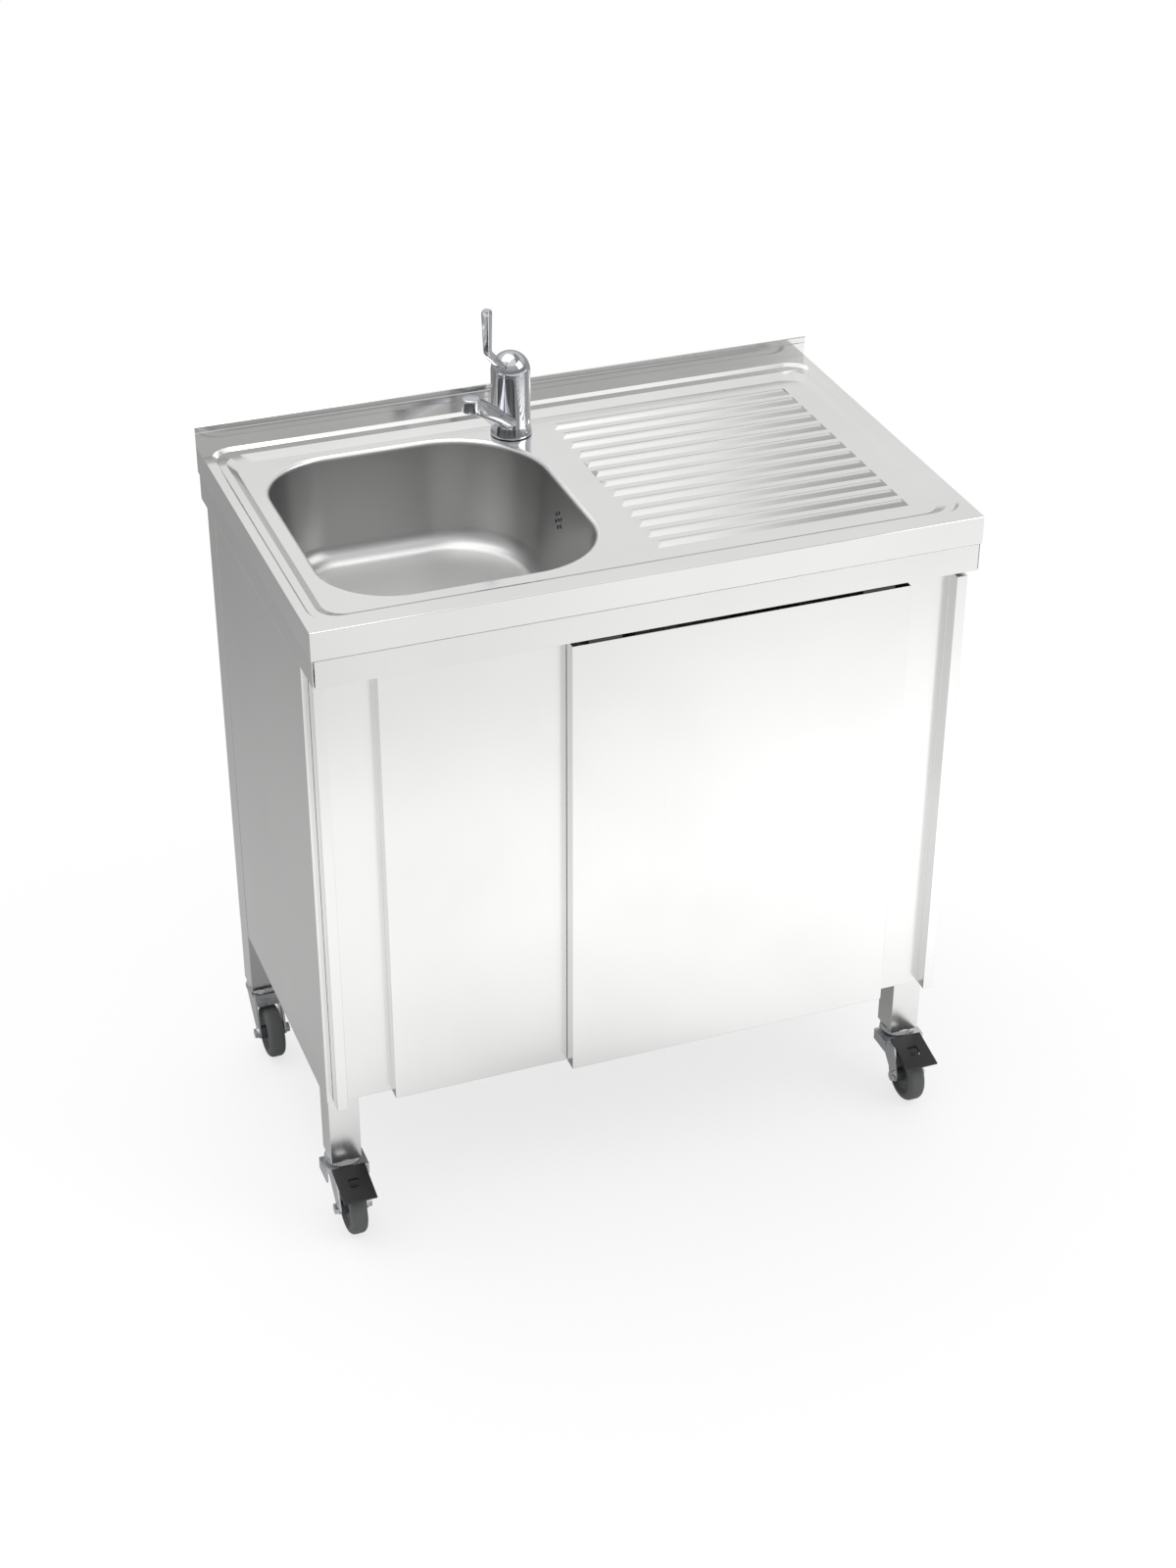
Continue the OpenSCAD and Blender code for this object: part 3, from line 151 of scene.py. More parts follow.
# %% Floor paint
floor_paint, tree = empty_material("white studio floor")
spot = add_node(tree, "ShaderNodeTexCoord")
axes = add_node(tree, "ShaderNodeSeparateXYZ", {0: spot.outputs["Object"]})
distance = add_node(tree, "ShaderNodeVectorMath", {0: spot.outputs["Object"]}, operation="LENGTH")
measures = {"X": axes.outputs["X"], "Y": axes.outputs["Y"], "distance": distance.outputs["Value"]}
mirrored = 1.0
for measure, start, end, low, high in FLOOR_FADES:
    fade = add_node(tree, "ShaderNodeMapRange",
                    {"Value": measures[measure], "From Min": start, "From Max": end,
                     "To Min": low, "To Max": high}, interpolation_type="SMOOTHSTEP")
    product = add_node(tree, "ShaderNodeMath", {0: mirrored, 1: fade.outputs[0]}, operation="MULTIPLY")
    mirrored = product.outputs[0]
own_light = add_node(tree, "ShaderNodeMapRange", {"Value": measures["distance"], **OWN_LIGHT},
                     interpolation_type="SMOOTHSTEP")
ray = add_node(tree, "ShaderNodeLightPath")
seen = add_node(tree, "ShaderNodeMath",
                {0: ray.outputs["Is Camera Ray"], 1: ray.outputs["Is Glossy Ray"]}, operation="MAXIMUM")
share = add_node(tree, "ShaderNodeMath",
                 {0: seen.outputs[0], 1: own_light.outputs[0]}, operation="MULTIPLY")
strength = add_node(tree, "ShaderNodeMix",
                    {"Factor": ray.outputs["Is Glossy Ray"], "A": 1.0, "B": mirrored}, data_type="FLOAT")
lit = add_node(tree, "ShaderNodeBsdfDiffuse", {"Color": linear("#f4f4f4")})
own = add_node(tree, "ShaderNodeEmission", {"Color": WHITE, "Strength": strength.outputs[0]})
both = add_node(tree, "ShaderNodeMixShader", {0: share.outputs[0], 1: lit.outputs[0], 2: own.outputs[0]})
add_node(tree, "ShaderNodeOutputMaterial", {"Surface": both.outputs[0]})
floor.data.materials.append(floor_paint)
print("floor paint:", len(tree.nodes), "nodes")

# %% [markdown]
# ## The light tent
# The world is white to the camera. To the object it is a tent: brighter behind the sink, where the
# worktop mirrors it, and darker on the camera's side, which gives the bowl and the tap their dark tones.
# A low band over the horizon is darker too, for the tap and the left wall of the bowl. The roof is
# bright, but dark towards the right, so the sides of the drainer's ribs that face that way stand out.

# %% World
TENT_FADES = {  # axis of the direction, from and to, brightness there
    "behind": ("Y", -0.45, 0.35, 0.64, 0.90),
    "horizon": ("Z", 0.16, 0.44, 0.55, 1.0),
    "overhead": ("Z", 0.60, 0.77, 0.0, 1.0),
    "rightward": ("X", 0.355, 0.395, 1.16, 0.42),
}
world = bpy.data.worlds.new("light tent")
bpy.context.scene.world = world
world.use_nodes = True
tree = world.node_tree
tree.nodes.clear()
direction = add_node(tree, "ShaderNodeTexCoord")
axes = add_node(tree, "ShaderNodeSeparateXYZ", {0: direction.outputs["Generated"]})
fades = {}
for name, (axis, start, end, low, high) in TENT_FADES.items():
    fade = add_node(tree, "ShaderNodeMapRange",
                    {"Value": axes.outputs[axis], "From Min": start, "From Max": end,
                     "To Min": low, "To Max": high}, interpolation_type="SMOOTHSTEP")
    fades[name] = fade.outputs[0]
walls = add_node(tree, "ShaderNodeMath", {0: fades["behind"], 1: fades["horizon"]}, operation="MULTIPLY")
tone = add_node(tree, "ShaderNodeMix",
                {"Factor": fades["overhead"], "A": walls.outputs[0], "B": fades["rightward"]},
                data_type="FLOAT")
ray = add_node(tree, "ShaderNodeLightPath")
tent = add_node(tree, "ShaderNodeBackground", {"Color": WHITE, "Strength": tone.outputs[0]})
backdrop = add_node(tree, "ShaderNodeBackground", {"Color": WHITE, "Strength": 1.0})
pick = add_node(tree, "ShaderNodeMixShader",
                {0: ray.outputs["Is Camera Ray"], 1: tent.outputs[0], 2: backdrop.outputs[0]})
add_node(tree, "ShaderNodeOutputWorld", {"Surface": pick.outputs[0]})
print("light tent:", len(tree.nodes), "nodes")

# %% [markdown]
# ## The lamps
# Two large soft boxes, as in a product studio. The key lamp stands to the right and gives the sink its
# short shadow on the left. A weaker one hangs over the worktop. Large lamps give soft shadow edges.

# %% Lamps
def soft_box(name, place, aim, size, watts):
    data = bpy.data.lights.new(name, "AREA")
    data.size = size
    data.energy = watts
    lamp = bpy.data.objects.new(name, data)
    bpy.context.scene.collection.objects.link(lamp)
    lamp.location = place
    lamp.rotation_euler = (Vector(aim) - Vector(place)).to_track_quat("-Z", "Y").to_euler()
    print(name, watts, "W,", size, "m")


soft_box("key from the right", place=(2.7, -2.0, 3.2), aim=(0.1, 0, 0.6), size=2.6, watts=45)
soft_box("fill from above", place=(-0.4, 0.6, 3.4), aim=(0, 0, 0.8), size=2.2, watts=30)

# %% [markdown]
# ## Stainless steel
# The worktop and the bowl are cold rolled sheet with a satin finish, and the cabinet is brushed: a belt
# has drawn fine parallel scratches along it. Real scratches are about 0.1 mm apart and can't show at this
# size, so they are drawn 2 mm apart and 150 mm long. In the photograph no single scratch shows. So they
# only vary the roughness a little, which makes the reflections a little uneven along the grain, and a
# broad, faint cloud in the colour keeps large sheets from looking like paint.
#
# The bowl was deep-drawn. Its walls are a greyer steel than its lip and floor, as painted shade, and its
# lip and floor are lighter bands, as painted light. So this steel can have bands of another colour, by
# height.

# %% Satin and brushed stainless
SCRATCH_PITCH = 2.0 * MM
SCRATCH_LENGTH = 150 * MM
SCRATCH_DEPTH = 0.2 * MM
CLOUD_SIZE = 220 * MM


def stainless(name, colour, roughness, grain, spread=0.0, relief=0.0, bands=()):
    """bands: for each, the height where it starts, the height where it is full, and its colour."""
    made, tree = empty_material(name)
    place = add_node(tree, "ShaderNodeTexCoord")
    heights = add_node(tree, "ShaderNodeSeparateXYZ", {0: place.outputs["Object"]})
    ground = linear(colour)
    for start, full, band_colour in bands:
        part = add_node(tree, "ShaderNodeMapRange",
                        {"Value": heights.outputs["Z"], "From Min": start, "From Max": full})
        banded = add_node(tree, "ShaderNodeMix",
                          {"Factor": part.outputs[0], "A": ground, "B": linear(band_colour)},
                          data_type="RGBA")
        ground = banded.outputs[2]
    stretch = [1 / SCRATCH_PITCH] * 3
    stretch["XYZ".index(grain)] = 1 / SCRATCH_LENGTH
    along = add_node(tree, "ShaderNodeMapping", {"Vector": place.outputs["Object"], "Scale": stretch})
    scratches = add_node(tree, "ShaderNodeTexNoise",
                         {"Vector": along.outputs[0], "Scale": 1.0, "Detail": 4.0})
    cloud = add_node(tree, "ShaderNodeTexNoise",
                     {"Vector": place.outputs["Object"], "Scale": 1 / CLOUD_SIZE, "Detail": 2.0})
    rough = add_node(tree, "ShaderNodeMapRange",
                     {"Value": scratches.outputs["Fac"], "From Min": 0.3, "From Max": 0.7,
                      "To Min": roughness - spread, "To Max": roughness + spread})
    shade = add_node(tree, "ShaderNodeMapRange",
                     {"Value": cloud.outputs["Fac"], "From Min": 0.3, "From Max": 0.7,
                      "To Min": 0.97, "To Max": 1.03})
    tint = add_node(tree, "ShaderNodeMix", {"Factor": 1.0, "A": ground, "B": shade.outputs[0]},
                    data_type="RGBA", blend_type="MULTIPLY")
    bumps = add_node(tree, "ShaderNodeBump",
                     {"Height": scratches.outputs["Fac"], "Strength": relief, "Distance": SCRATCH_DEPTH})
    skin = add_node(tree, "ShaderNodeBsdfPrincipled",
                    {"Base Color": tint.outputs["Result"], "Metallic": 1.0,
                     "Roughness": rough.outputs[0], "Normal": bumps.outputs[0]})
    add_node(tree, "ShaderNodeOutputMaterial", {"Surface": skin.outputs[0]})
    return made


# %% The three steels of the sink
bowl_low, bowl_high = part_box("bowl")
# Painted light: lighter bands of steel at the lip and on the floor of the bowl.
BOWL_PAINTED_LIGHT_BANDS = [
    (bowl_high.z - 6.5 * MM, bowl_high.z - 2.5 * MM, "#e4e4e3"),
    (bowl_low.z + 4.5 * MM, bowl_low.z + 2.5 * MM, "#e8e8e7"),
]
worktop_steel = stainless("satin stainless worktop", "#e4e4e3", 0.12, "X", spread=0.015)
# Painted shade: the bowl's darker grey steel stands for shade on its walls.
bowl_steel = stainless("satin stainless bowl", "#b1b2b1", 0.34, "X", bands=BOWL_PAINTED_LIGHT_BANDS)
sheet_steel = stainless("brushed stainless sheet, upright grain", "#e0e0df", 0.21, "Z",
                        spread=0.02, relief=0.0008)
print("scratches of the sheet:", SCRATCH_PITCH / MM, "mm apart")

# %% [markdown]
# ## Chrome and zinc
# The mixer is brass with a polished chrome plate: nearly a mirror, a little blue and a little dark. The
# castor forks are stamped steel with bright zinc plate, which is duller and slightly mottled. Both are
# one function: a metal whose roughness wanders with a noise of the real size of its mottling.

# %% Chrome and zinc plate
def plated(name, colour, roughness, mottle, size):
    made, tree = empty_material(name)
    place = add_node(tree, "ShaderNodeTexCoord")
    spots = add_node(tree, "ShaderNodeTexNoise",
                     {"Vector": place.outputs["Object"], "Scale": 1 / size, "Detail": 3.0})
    rough = add_node(tree, "ShaderNodeMapRange",
                     {"Value": spots.outputs["Fac"], "From Min": 0.3, "From Max": 0.7,
                      "To Min": roughness, "To Max": roughness + mottle})
    skin = add_node(tree, "ShaderNodeBsdfPrincipled",
                    {"Base Color": linear(colour), "Metallic": 1.0, "Roughness": rough.outputs[0]})
    add_node(tree, "ShaderNodeOutputMaterial", {"Surface": skin.outputs[0]})
    return made


tap_chrome = plated("polished chrome plate", "#c0c1c5", 0.05, 0.02, 25 * MM)
zinc_plate = plated("bright zinc plate", "#c4c5c8", 0.2, 0.1, 6 * MM)
print("plated metals:", tap_chrome.name, "and", zinc_plate.name)

# %% [markdown]
# ## Rubber and plastics
# Moulded parts are never quite smooth: the mould gives them a fine, even texture, about a millimetre or
# two coarse here so that it shows. One noise makes both the bumps and the small changes of roughness, so
# that the two belong together as they do on a real part.

# %% Rubber and moulded plastic
PLASTIC_IOR = 1.5
MOULD_DEPTH = 0.1 * MM
MOULD_SPREAD = 0.05


def moulded(name, colour, roughness, grain, relief):
    made, tree = empty_material(name)
    place = add_node(tree, "ShaderNodeTexCoord")
    texture = add_node(tree, "ShaderNodeTexNoise",
                       {"Vector": place.outputs["Object"], "Scale": 1 / grain, "Detail": 3.0})
    rough = add_node(tree, "ShaderNodeMapRange",
                     {"Value": texture.outputs["Fac"], "From Min": 0.3, "From Max": 0.7,
                      "To Min": roughness - MOULD_SPREAD, "To Max": roughness + MOULD_SPREAD})
    bumps = add_node(tree, "ShaderNodeBump",
                     {"Height": texture.outputs["Fac"], "Strength": relief, "Distance": MOULD_DEPTH})
    skin = add_node(tree, "ShaderNodeBsdfPrincipled",
                    {"Base Color": linear(colour), "Roughness": rough.outputs[0], "IOR": PLASTIC_IOR,
                     "Normal": bumps.outputs[0]})
    add_node(tree, "ShaderNodeOutputMaterial", {"Surface": skin.outputs[0]})
    return made


# Rubber: matt, with a soft pale shoulder and no highlight.
tyre_rubber = moulded("grey castor rubber", "#58595a", 0.62, 2 * MM, 0.3)
seal_rubber = moulded("black nitrile rubber", "#202020", 0.6, 1.5 * MM, 0.2)
# Polypropylene and polyethylene: a waxy, broad highlight.
hub_plastic = moulded("grey polypropylene hub", "#454748", 0.5, 1.5 * MM, 0.25)
pipe_plastic = moulded("white polypropylene", "#e2e2df", 0.4, 2 * MM, 0.15)
cap_plastic = moulded("black polypropylene", "#232325", 0.45, 1.5 * MM, 0.25)
tank_plastic = moulded("natural polyethylene", "#d6dddf", 0.38, 4 * MM, 0.25)
# Nylon: glass fibres make the pedals grainy; the glides are smoother, and dark as the gap they stand in.
pedal_nylon = moulded("black glass filled nylon", "#151516", 0.42, 1.2 * MM, 0.35)
pump_nylon = moulded("dark grey polyamide", "#3a3b3d", 0.45, 2 * MM, 0.25)
# The glides are dark as the gap they stand in: their dark grey is painted shade.
glide_nylon = moulded("nylon darkened as painted shade", "#3a3a39", 0.35, 1.5 * MM, 0.15)

# %% Finish of each material slot
SLOT_FINISH = {
    "top_steel": worktop_steel, "bowl_steel": bowl_steel, "cabinet_steel": sheet_steel,
    "tap_chrome": tap_chrome, "zinc_steel": zinc_plate, "tyre": tyre_rubber, "hub": hub_plastic,
    "pedal": pedal_nylon, "seal": seal_rubber, "pipework": pipe_plastic, "tank": tank_plastic,
    "cap": cap_plastic, "pump_black": pump_nylon, "nylon": glide_nylon,
}
NODE_SLOT = {row["node"]: row["material_slot"] for row in frame["record"]["subparts"]}
BODIES = frame["record"]["behaviour"]["bodies"]
NODE_BODY = {node: body for body, nodes in BODIES.items() for node in nodes}

# %% [markdown]
# ## Registering a piece
# Every piece is parented to the body that carries it and takes its finish from its CAD node's material
# slot, unless it is given another. Both follow from the node, so one function does it, hides the node and
# notes that the node is dressed.

# %% Registering
DRESSED = set()


def select_only(piece):
    if bpy.context.object and bpy.context.object.mode != "OBJECT":
        bpy.ops.object.mode_set(mode="OBJECT")
    bpy.ops.object.select_all(action="DESELECT")
    piece.select_set(True)
    bpy.context.view_layer.objects.active = piece


def register(piece, node, finish=None):
    slot = NODE_SLOT[node]
    piece.data.materials.clear()
    piece.data.materials.append(finish or SLOT_FINISH[slot])
    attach(piece, NODE_BODY[node])
    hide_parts(node)
    DRESSED.add(node)
    print(piece.name, "stands for", node, "with", len(piece.data.polygons), "faces")


# %% [markdown]
# ## Turned and lofted forms
# A turned part is a profile of radius and height pairs, spun round an axis, as on a lathe. A lofted part
# is a row of closed outlines with the same number of points, joined by quads. A cylinder pushed into
# shape by hand, or cut by booleans, has long thin faces that dent the reflection. Both ways here give
# even quads, and even quads are what makes a polished surface mirror cleanly.
#
# A spun ring can come out with all its faces inwards, so its normals are recalculated. Deleting what is
# loose leaves nothing selected, so all is selected again before that. The printed volume would be below
# zero if the faces still pointed inwards.

# %% From points to a closed skin
MERGE = 0.002 * MM
RIGHT, BACK, UP = Vector((1, 0, 0)), Vector((0, 1, 0)), Vector((0, 0, 1))


def drawn(name, points, edges=(), faces=()):
    """A new object with these points, in edit mode, all of it selected."""
    mesh = bpy.data.meshes.new(name)
    mesh.from_pydata([tuple(p) for p in points], edges, faces)
    piece = bpy.data.objects.new(name, mesh)
    bpy.context.scene.collection.objects.link(piece)
    select_only(piece)
    bpy.ops.object.mode_set(mode="EDIT")
    bpy.ops.mesh.select_all(action="SELECT")
    return piece


def closed_skin(piece, smooth):
    """Joins doubled points, turns the faces outwards and shades them smooth up to an angle."""
    bpy.ops.mesh.select_all(action="SELECT")
    bpy.ops.mesh.remove_doubles(threshold=MERGE)
    bpy.ops.mesh.delete_loose()
    bpy.ops.mesh.select_all(action="SELECT")
    bpy.ops.mesh.normals_make_consistent(inside=False)
    volume = bmesh.from_edit_mesh(piece.data).calc_volume(signed=True)
    print(piece.name, "holds", round(volume / MM ** 3 / 1000, 1), "cm3")
    bpy.ops.object.mode_set(mode="OBJECT")
    bpy.ops.object.shade_smooth_by_angle(angle=math.radians(smooth))
    return piece


# %% Turning and lofting
def turned(name, profile, origin, axis=UP, outward=RIGHT, segments=96, smooth=30.0):
    """profile: closed list of (radius, height) in mm, along the directions outward and axis."""
    points = [origin + (outward * radius + axis * height) * MM for radius, height in profile]
    piece = drawn(name, points, edges=[(k, (k + 1) % len(points)) for k in range(len(points))])
    bpy.ops.mesh.spin(steps=segments, angle=2 * math.pi, center=origin, axis=axis)
    return closed_skin(piece, smooth)


def loft(name, rings, closed=False, smooth=30.0):
    """rings: outlines with equally many points. A closed loft joins its last ring to its first."""
    count = len(rings[0])
    faces = []
    for r in range(len(rings) if closed else len(rings) - 1):
        low, high = r * count, (r + 1) % len(rings) * count
        for k in range(count):
            n = (k + 1) % count
            faces.append((low + k, low + n, high + n, high + k))
    if not closed:
        faces.append(tuple(range(count - 1, -1, -1)))
        faces.append(tuple(range((len(rings) - 1) * count, len(rings) * count)))
    return closed_skin(drawn(name, [p for ring in rings for p in ring], faces=faces), smooth)


def cut(piece, cutter):
    tool = piece.modifiers.new("cut", "BOOLEAN")
    tool.operation = "DIFFERENCE"
    tool.solver = "EXACT"
    tool.object = cutter
    select_only(piece)
    bpy.ops.object.modifier_apply(modifier=tool.name)
    bpy.data.objects.remove(cutter)


# %% [markdown]
# ## Lines for profiles and outlines
# A cast or turned part has no sharp corners, so its profile is drawn as straight lines first and its
# corners are rounded by a short curve. A spout's outline bends all the way, so it is a smooth curve
# through a few points instead. A squircle is an outline between an ellipse and a rectangle: a higher
# power brings it nearer to the rectangle.

# %% Lines and outlines
def round_corner(points, radius, steps=4):
    """Rounds the corners of an open profile, but not its two ends or what lies on the axis."""
    out = [Vector(points[0])]
    for before, corner, after in zip(points, points[1:], points[2:]):
        c = Vector(corner)
        if c.x < 0.1:
            out.append(c)
            continue
        r = min(radius, (Vector(before) - c).length / 2.2, (Vector(after) - c).length / 2.2)
        start = c + (Vector(before) - c).normalized() * r
        end = c + (Vector(after) - c).normalized() * r
        for k in range(steps + 1):
            t = k / steps
            out.append(start * (1 - t) ** 2 + c * 2 * t * (1 - t) + end * t ** 2)
    out.append(Vector(points[-1]))
    return out


def smooth_curve(knots, count):
    """Points on a curve through the knots, evenly spread over them."""
    rows = [Vector(k) for k in knots]
    rows = [rows[0] * 2 - rows[1]] + rows + [rows[-1] * 2 - rows[-2]]
    out = []
    for n in range(count):
        u = n / (count - 1) * (len(rows) - 3)
        k = min(int(u), len(rows) - 4)
        t = u - k
        a, b, c, d = rows[k:k + 4]
        out.append((b * 2 + (c - a) * t + (a * 2 - b * 5 + c * 4 - d) * t ** 2
                    + (b * 3 - a - c * 3 + d) * t ** 3) * 0.5)
    return out


def squircle(half_a, half_b, power, count=48):
    """Outline between an ellipse and a rectangle, as pairs."""
    pairs = []
    for k in range(count):
        a = 2 * math.pi * k / count
        c, s = math.cos(a), math.sin(a)
        pairs.append((half_a * math.copysign(abs(c) ** (2 / power), c),
                      half_b * math.copysign(abs(s) ** (2 / power), s)))
    return pairs


def ramp(value, start, end):
    """0 at start, 1 at end, and straight between them."""
    return max(0.0, min(1.0, (value - start) / (end - start)))


def arc(radius, angles):
    return [(radius * math.cos(math.radians(a)), radius * math.sin(math.radians(a))) for a in angles]


# %% [markdown]
# ## The bowl
# A deep-drawn bowl. Its mouth is a rectangle with four corner radii, rolled over at the edge, and its
# walls lean in by 10 mm on the way down to a 27 mm fillet. A cube with bevelled edges can't have four
# radii, a lean and a rolled lip at once. So each row of a loft is the same outline, grown or shrunk, at
# its own height, and the floor's rows turn into the circle of the drain.

# %% Mouth of the bowl
SHEET_THICKNESS = 1.0
LIP_RADIUS = 5.0
mouth_low = (bowl_low.x / MM + LIP_RADIUS, bowl_low.y / MM + LIP_RADIUS)
mouth_high = (bowl_high.x / MM - LIP_RADIUS, bowl_high.y / MM - LIP_RADIUS)
middle = Vector(((mouth_low[0] + mouth_high[0]) / 2, (mouth_low[1] + mouth_high[1]) / 2))
CORNERS = [  # right and back (or not), radius, first angle
    (True, True, 118, 0), (False, True, 88, 90), (False, False, 88, 180), (True, False, 98, 270),
]


def mouth_outline(grow, z, steps=20, flat=6):
    arcs = []
    for right, back, radius, first in CORNERS:
        x = mouth_high[0] - radius if right else mouth_low[0] + radius
        y = mouth_high[1] - radius if back else mouth_low[1] + radius
        angles = [first + 90 * k / steps for k in range(steps + 1)]
        arcs.append([Vector((x + u, y + v, z)) for u, v in arc(radius + grow, angles)])
    ring = []
    for k, bend in enumerate(arcs):
        start = arcs[(k + 1) % 4][0]
        ring += bend
        ring += [bend[-1].lerp(start, n / flat) for n in range(1, flat)]
    return ring


print("mouth in mm:", [round(high - low, 1) for low, high in zip(mouth_low, mouth_high)])

# %% Wall and floor of the bowl
DRAFT = 10.0
FILLET_RADIUS = 27.0
DRAIN_RADIUS = 27.0
WALL_ROWS = 8
FILLET_ROWS = 14
FLOOR_ROWS = 6
bowl_top, bowl_base = bowl_high.z / MM, bowl_low.z / MM + SHEET_THICKNESS


def bowl_profile(skin):
    """Pairs of growth and height, from the rolled lip down to the floor's edge, skin mm outside."""
    roll = LIP_RADIUS - skin
    pairs = [(skin + roll - u, bowl_top - LIP_RADIUS + v) for u, v in arc(roll, range(90, -1, -15))]
    fillet = FILLET_RADIUS + skin
    centre = Vector((-DRAFT - FILLET_RADIUS, bowl_base + FILLET_RADIUS))
    start = Vector(pairs[-1])
    reach = (start - centre).length
    first = math.atan2(start.y - centre.y, start.x - centre.x) - math.acos(fillet / reach)
    wall_end = centre + fillet * Vector((math.cos(first), math.sin(first)))
    pairs += [tuple(start.lerp(wall_end, k / WALL_ROWS)) for k in range(1, WALL_ROWS)]
    for k in range(FILLET_ROWS + 1):
        a = first + (-math.pi / 2 - first) * k / FILLET_ROWS
        pairs.append(tuple(centre + fillet * Vector((math.cos(a), math.sin(a)))))
    return pairs


def floor_rows(edge):
    rows = []
    for k in range(1, FLOOR_ROWS + 1):
        row = []
        for p in edge:
            outer = Vector((p.x, p.y))
            hole = middle + (outer - middle).normalized() * DRAIN_RADIUS
            at = outer.lerp(hole, k / FLOOR_ROWS)
            row.append(Vector((at.x, at.y, p.z)))
        rows.append(row)
    return rows


inside = [mouth_outline(growth, z) for growth, z in bowl_profile(0)]
outside = [mouth_outline(growth, z) for growth, z in bowl_profile(SHEET_THICKNESS)]
rows = inside + floor_rows(inside[-1])
rows += list(reversed(outside + floor_rows(outside[-1])))
bowl = loft("bowl_pressed", [[p * MM for p in row] for row in rows], closed=True, smooth=35)
print("bowl:", len(rows), "rows of", len(rows[0]), "points")

# %% [markdown]
# ## The overflow holes
# Seven small round holes near the top of the bowl's right wall: one in the middle and six round it. They
# are punched, so each is cut with a cylinder, as the punch does.

# %% Overflow holes
OVERFLOW_DROP = 50
OVERFLOW_SHIFT = 11
HOLE_RADIUS = 2.8
HOLE_RING = 9
PUNCH_LENGTH = 30
for turn, out in [(30 + 60 * k, HOLE_RING) for k in range(6)] + [(30, 0)]:
    across, rise = out * math.cos(math.radians(turn)), out * math.sin(math.radians(turn))
    bpy.ops.mesh.primitive_cylinder_add(
        vertices=32, radius=HOLE_RADIUS * MM, depth=PUNCH_LENGTH * MM, rotation=(0, math.pi / 2, 0),
        location=((mouth_high[0] - 3) * MM, (middle.y + OVERFLOW_SHIFT + across) * MM,
                  WORKTOP_HEIGHT + (rise - OVERFLOW_DROP) * MM))
    cut(bowl, bpy.context.object)
register(bowl, "bowl")

# %% [markdown]
# ## The mixer tap
# The tap stands turned, with its spout over the bowl. Its parts are worked out in the tap's own
# directions, out towards the bowl and across, and set down round its axis. Heights count from the sunken
# field of the worktop that the tap stands on.

# %% Directions of the tap
FIELD_DROP = 5.5
SPOUT_TURN = math.radians(180 + 41)
OUT = Vector((math.cos(SPOUT_TURN), math.sin(SPOUT_TURN), 0))
ACROSS = Vector((-math.sin(SPOUT_TURN), math.cos(SPOUT_TURN), 0))
dome_low, dome_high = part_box("tap_dome")
TAP_AXIS = Vector(((dome_low.x + dome_high.x) / 2, (dome_low.y + dome_high.y) / 2, 0))
TAP_FOOT = (WORKTOP_HEIGHT - FIELD_DROP * MM) / MM


def at_tap(out, across, height):
    return TAP_AXIS + (OUT * out + ACROSS * across + UP * (TAP_FOOT + height)) * MM


print("tap axis at", [round(v, 3) for v in TAP_AXIS.xy], "m")

# %% [markdown]
# ## The tap's body
# A turned brass barrel on a slightly wider foot, with a narrow spigot on top that the dome turns on. The
# spigot's foot keeps its sharp inner corner, where a round would touch the turning dome, so two points
# stand 0.1 mm from that corner.

# %% Barrel
BARREL_RADIUS = 24
SPIGOT_RADIUS = 18
BORE_RADIUS = 14
FOOT_RADIUS = 25.4
GASKET_TOP = 0.8
SEAM_HEIGHT = 82
SPIGOT_RISE = 4
NEAR = 0.1
barrel = [
    (BORE_RADIUS, SEAM_HEIGHT),
    (BORE_RADIUS, SEAM_HEIGHT + SPIGOT_RISE), (SPIGOT_RADIUS, SEAM_HEIGHT + SPIGOT_RISE),
    (SPIGOT_RADIUS, SEAM_HEIGHT + NEAR), (SPIGOT_RADIUS, SEAM_HEIGHT), (SPIGOT_RADIUS + NEAR, SEAM_HEIGHT),
    (BARREL_RADIUS, SEAM_HEIGHT), (BARREL_RADIUS, 13.8), (24.5, 8.5), (FOOT_RADIUS, 3.3),
    (FOOT_RADIUS, GASKET_TOP), (BORE_RADIUS, GASKET_TOP),
]
body = turned("tap_barrel", round_corner(barrel, 0.9), at_tap(0, 0, 0), segments=128, smooth=28)
register(body, "tap_body")

# %% [markdown]
# ## The spout
# The spout is cast in one with the body: broad at its root, narrower and rising towards its end, with
# soft flat sides. One smooth line gives its underside and one its top. Between them stands a row of
# squircles, square to the spout, and a loft joins them. The end is a short upright barrel, turned round
# the water's outlet, and hollow from below for the aerator.

# %% Spout arm
UNDERSIDE = [(14, 17), (27, 18), (37, 24), (48, 32.5), (62, 42), (77, 52), (86, 64)]
TOP_SIDE = [(14, 31), (21, 34.2), (28, 39), (42, 51), (56, 61.5), (70, 71.5), (86, 80.2)]
SPOUT_ROWS = 40
END_HALF_WIDTH, ROOT_EXTRA = 6.5, 10.5
SPOUT_SQUARENESS = 3.6
rings = []
for low, high in zip(smooth_curve(UNDERSIDE, SPOUT_ROWS), smooth_curve(TOP_SIDE, SPOUT_ROWS)):
    centre = (low + high) / 2
    lean = (high - low).normalized()
    wide = END_HALF_WIDTH + ROOT_EXTRA * ramp(centre.x, 68, 26) ** 1.1
    outline = squircle(wide, (high - low).length / 2, SPOUT_SQUARENESS)
    rings.append([at_tap(centre.x + lean.x * b, a, centre.y + lean.y * b) for a, b in outline])
arm = loft("tap_spout_arm", rings, smooth=50)
register(arm, "tap_body")

# %% Spout outlet
SPOUT_REACH = 93.4
AERATOR_SEAT_RADIUS = 8.05
outlet = [(AERATOR_SEAT_RADIUS, 65), (11, 65), (11.2, 81.6), (0, 82), (0, 74), (AERATOR_SEAT_RADIUS, 74)]
nose = turned("tap_outlet", round_corner(outlet, 2.2), at_tap(SPOUT_REACH, 0, 0), smooth=40)
register(nose, "tap_body")

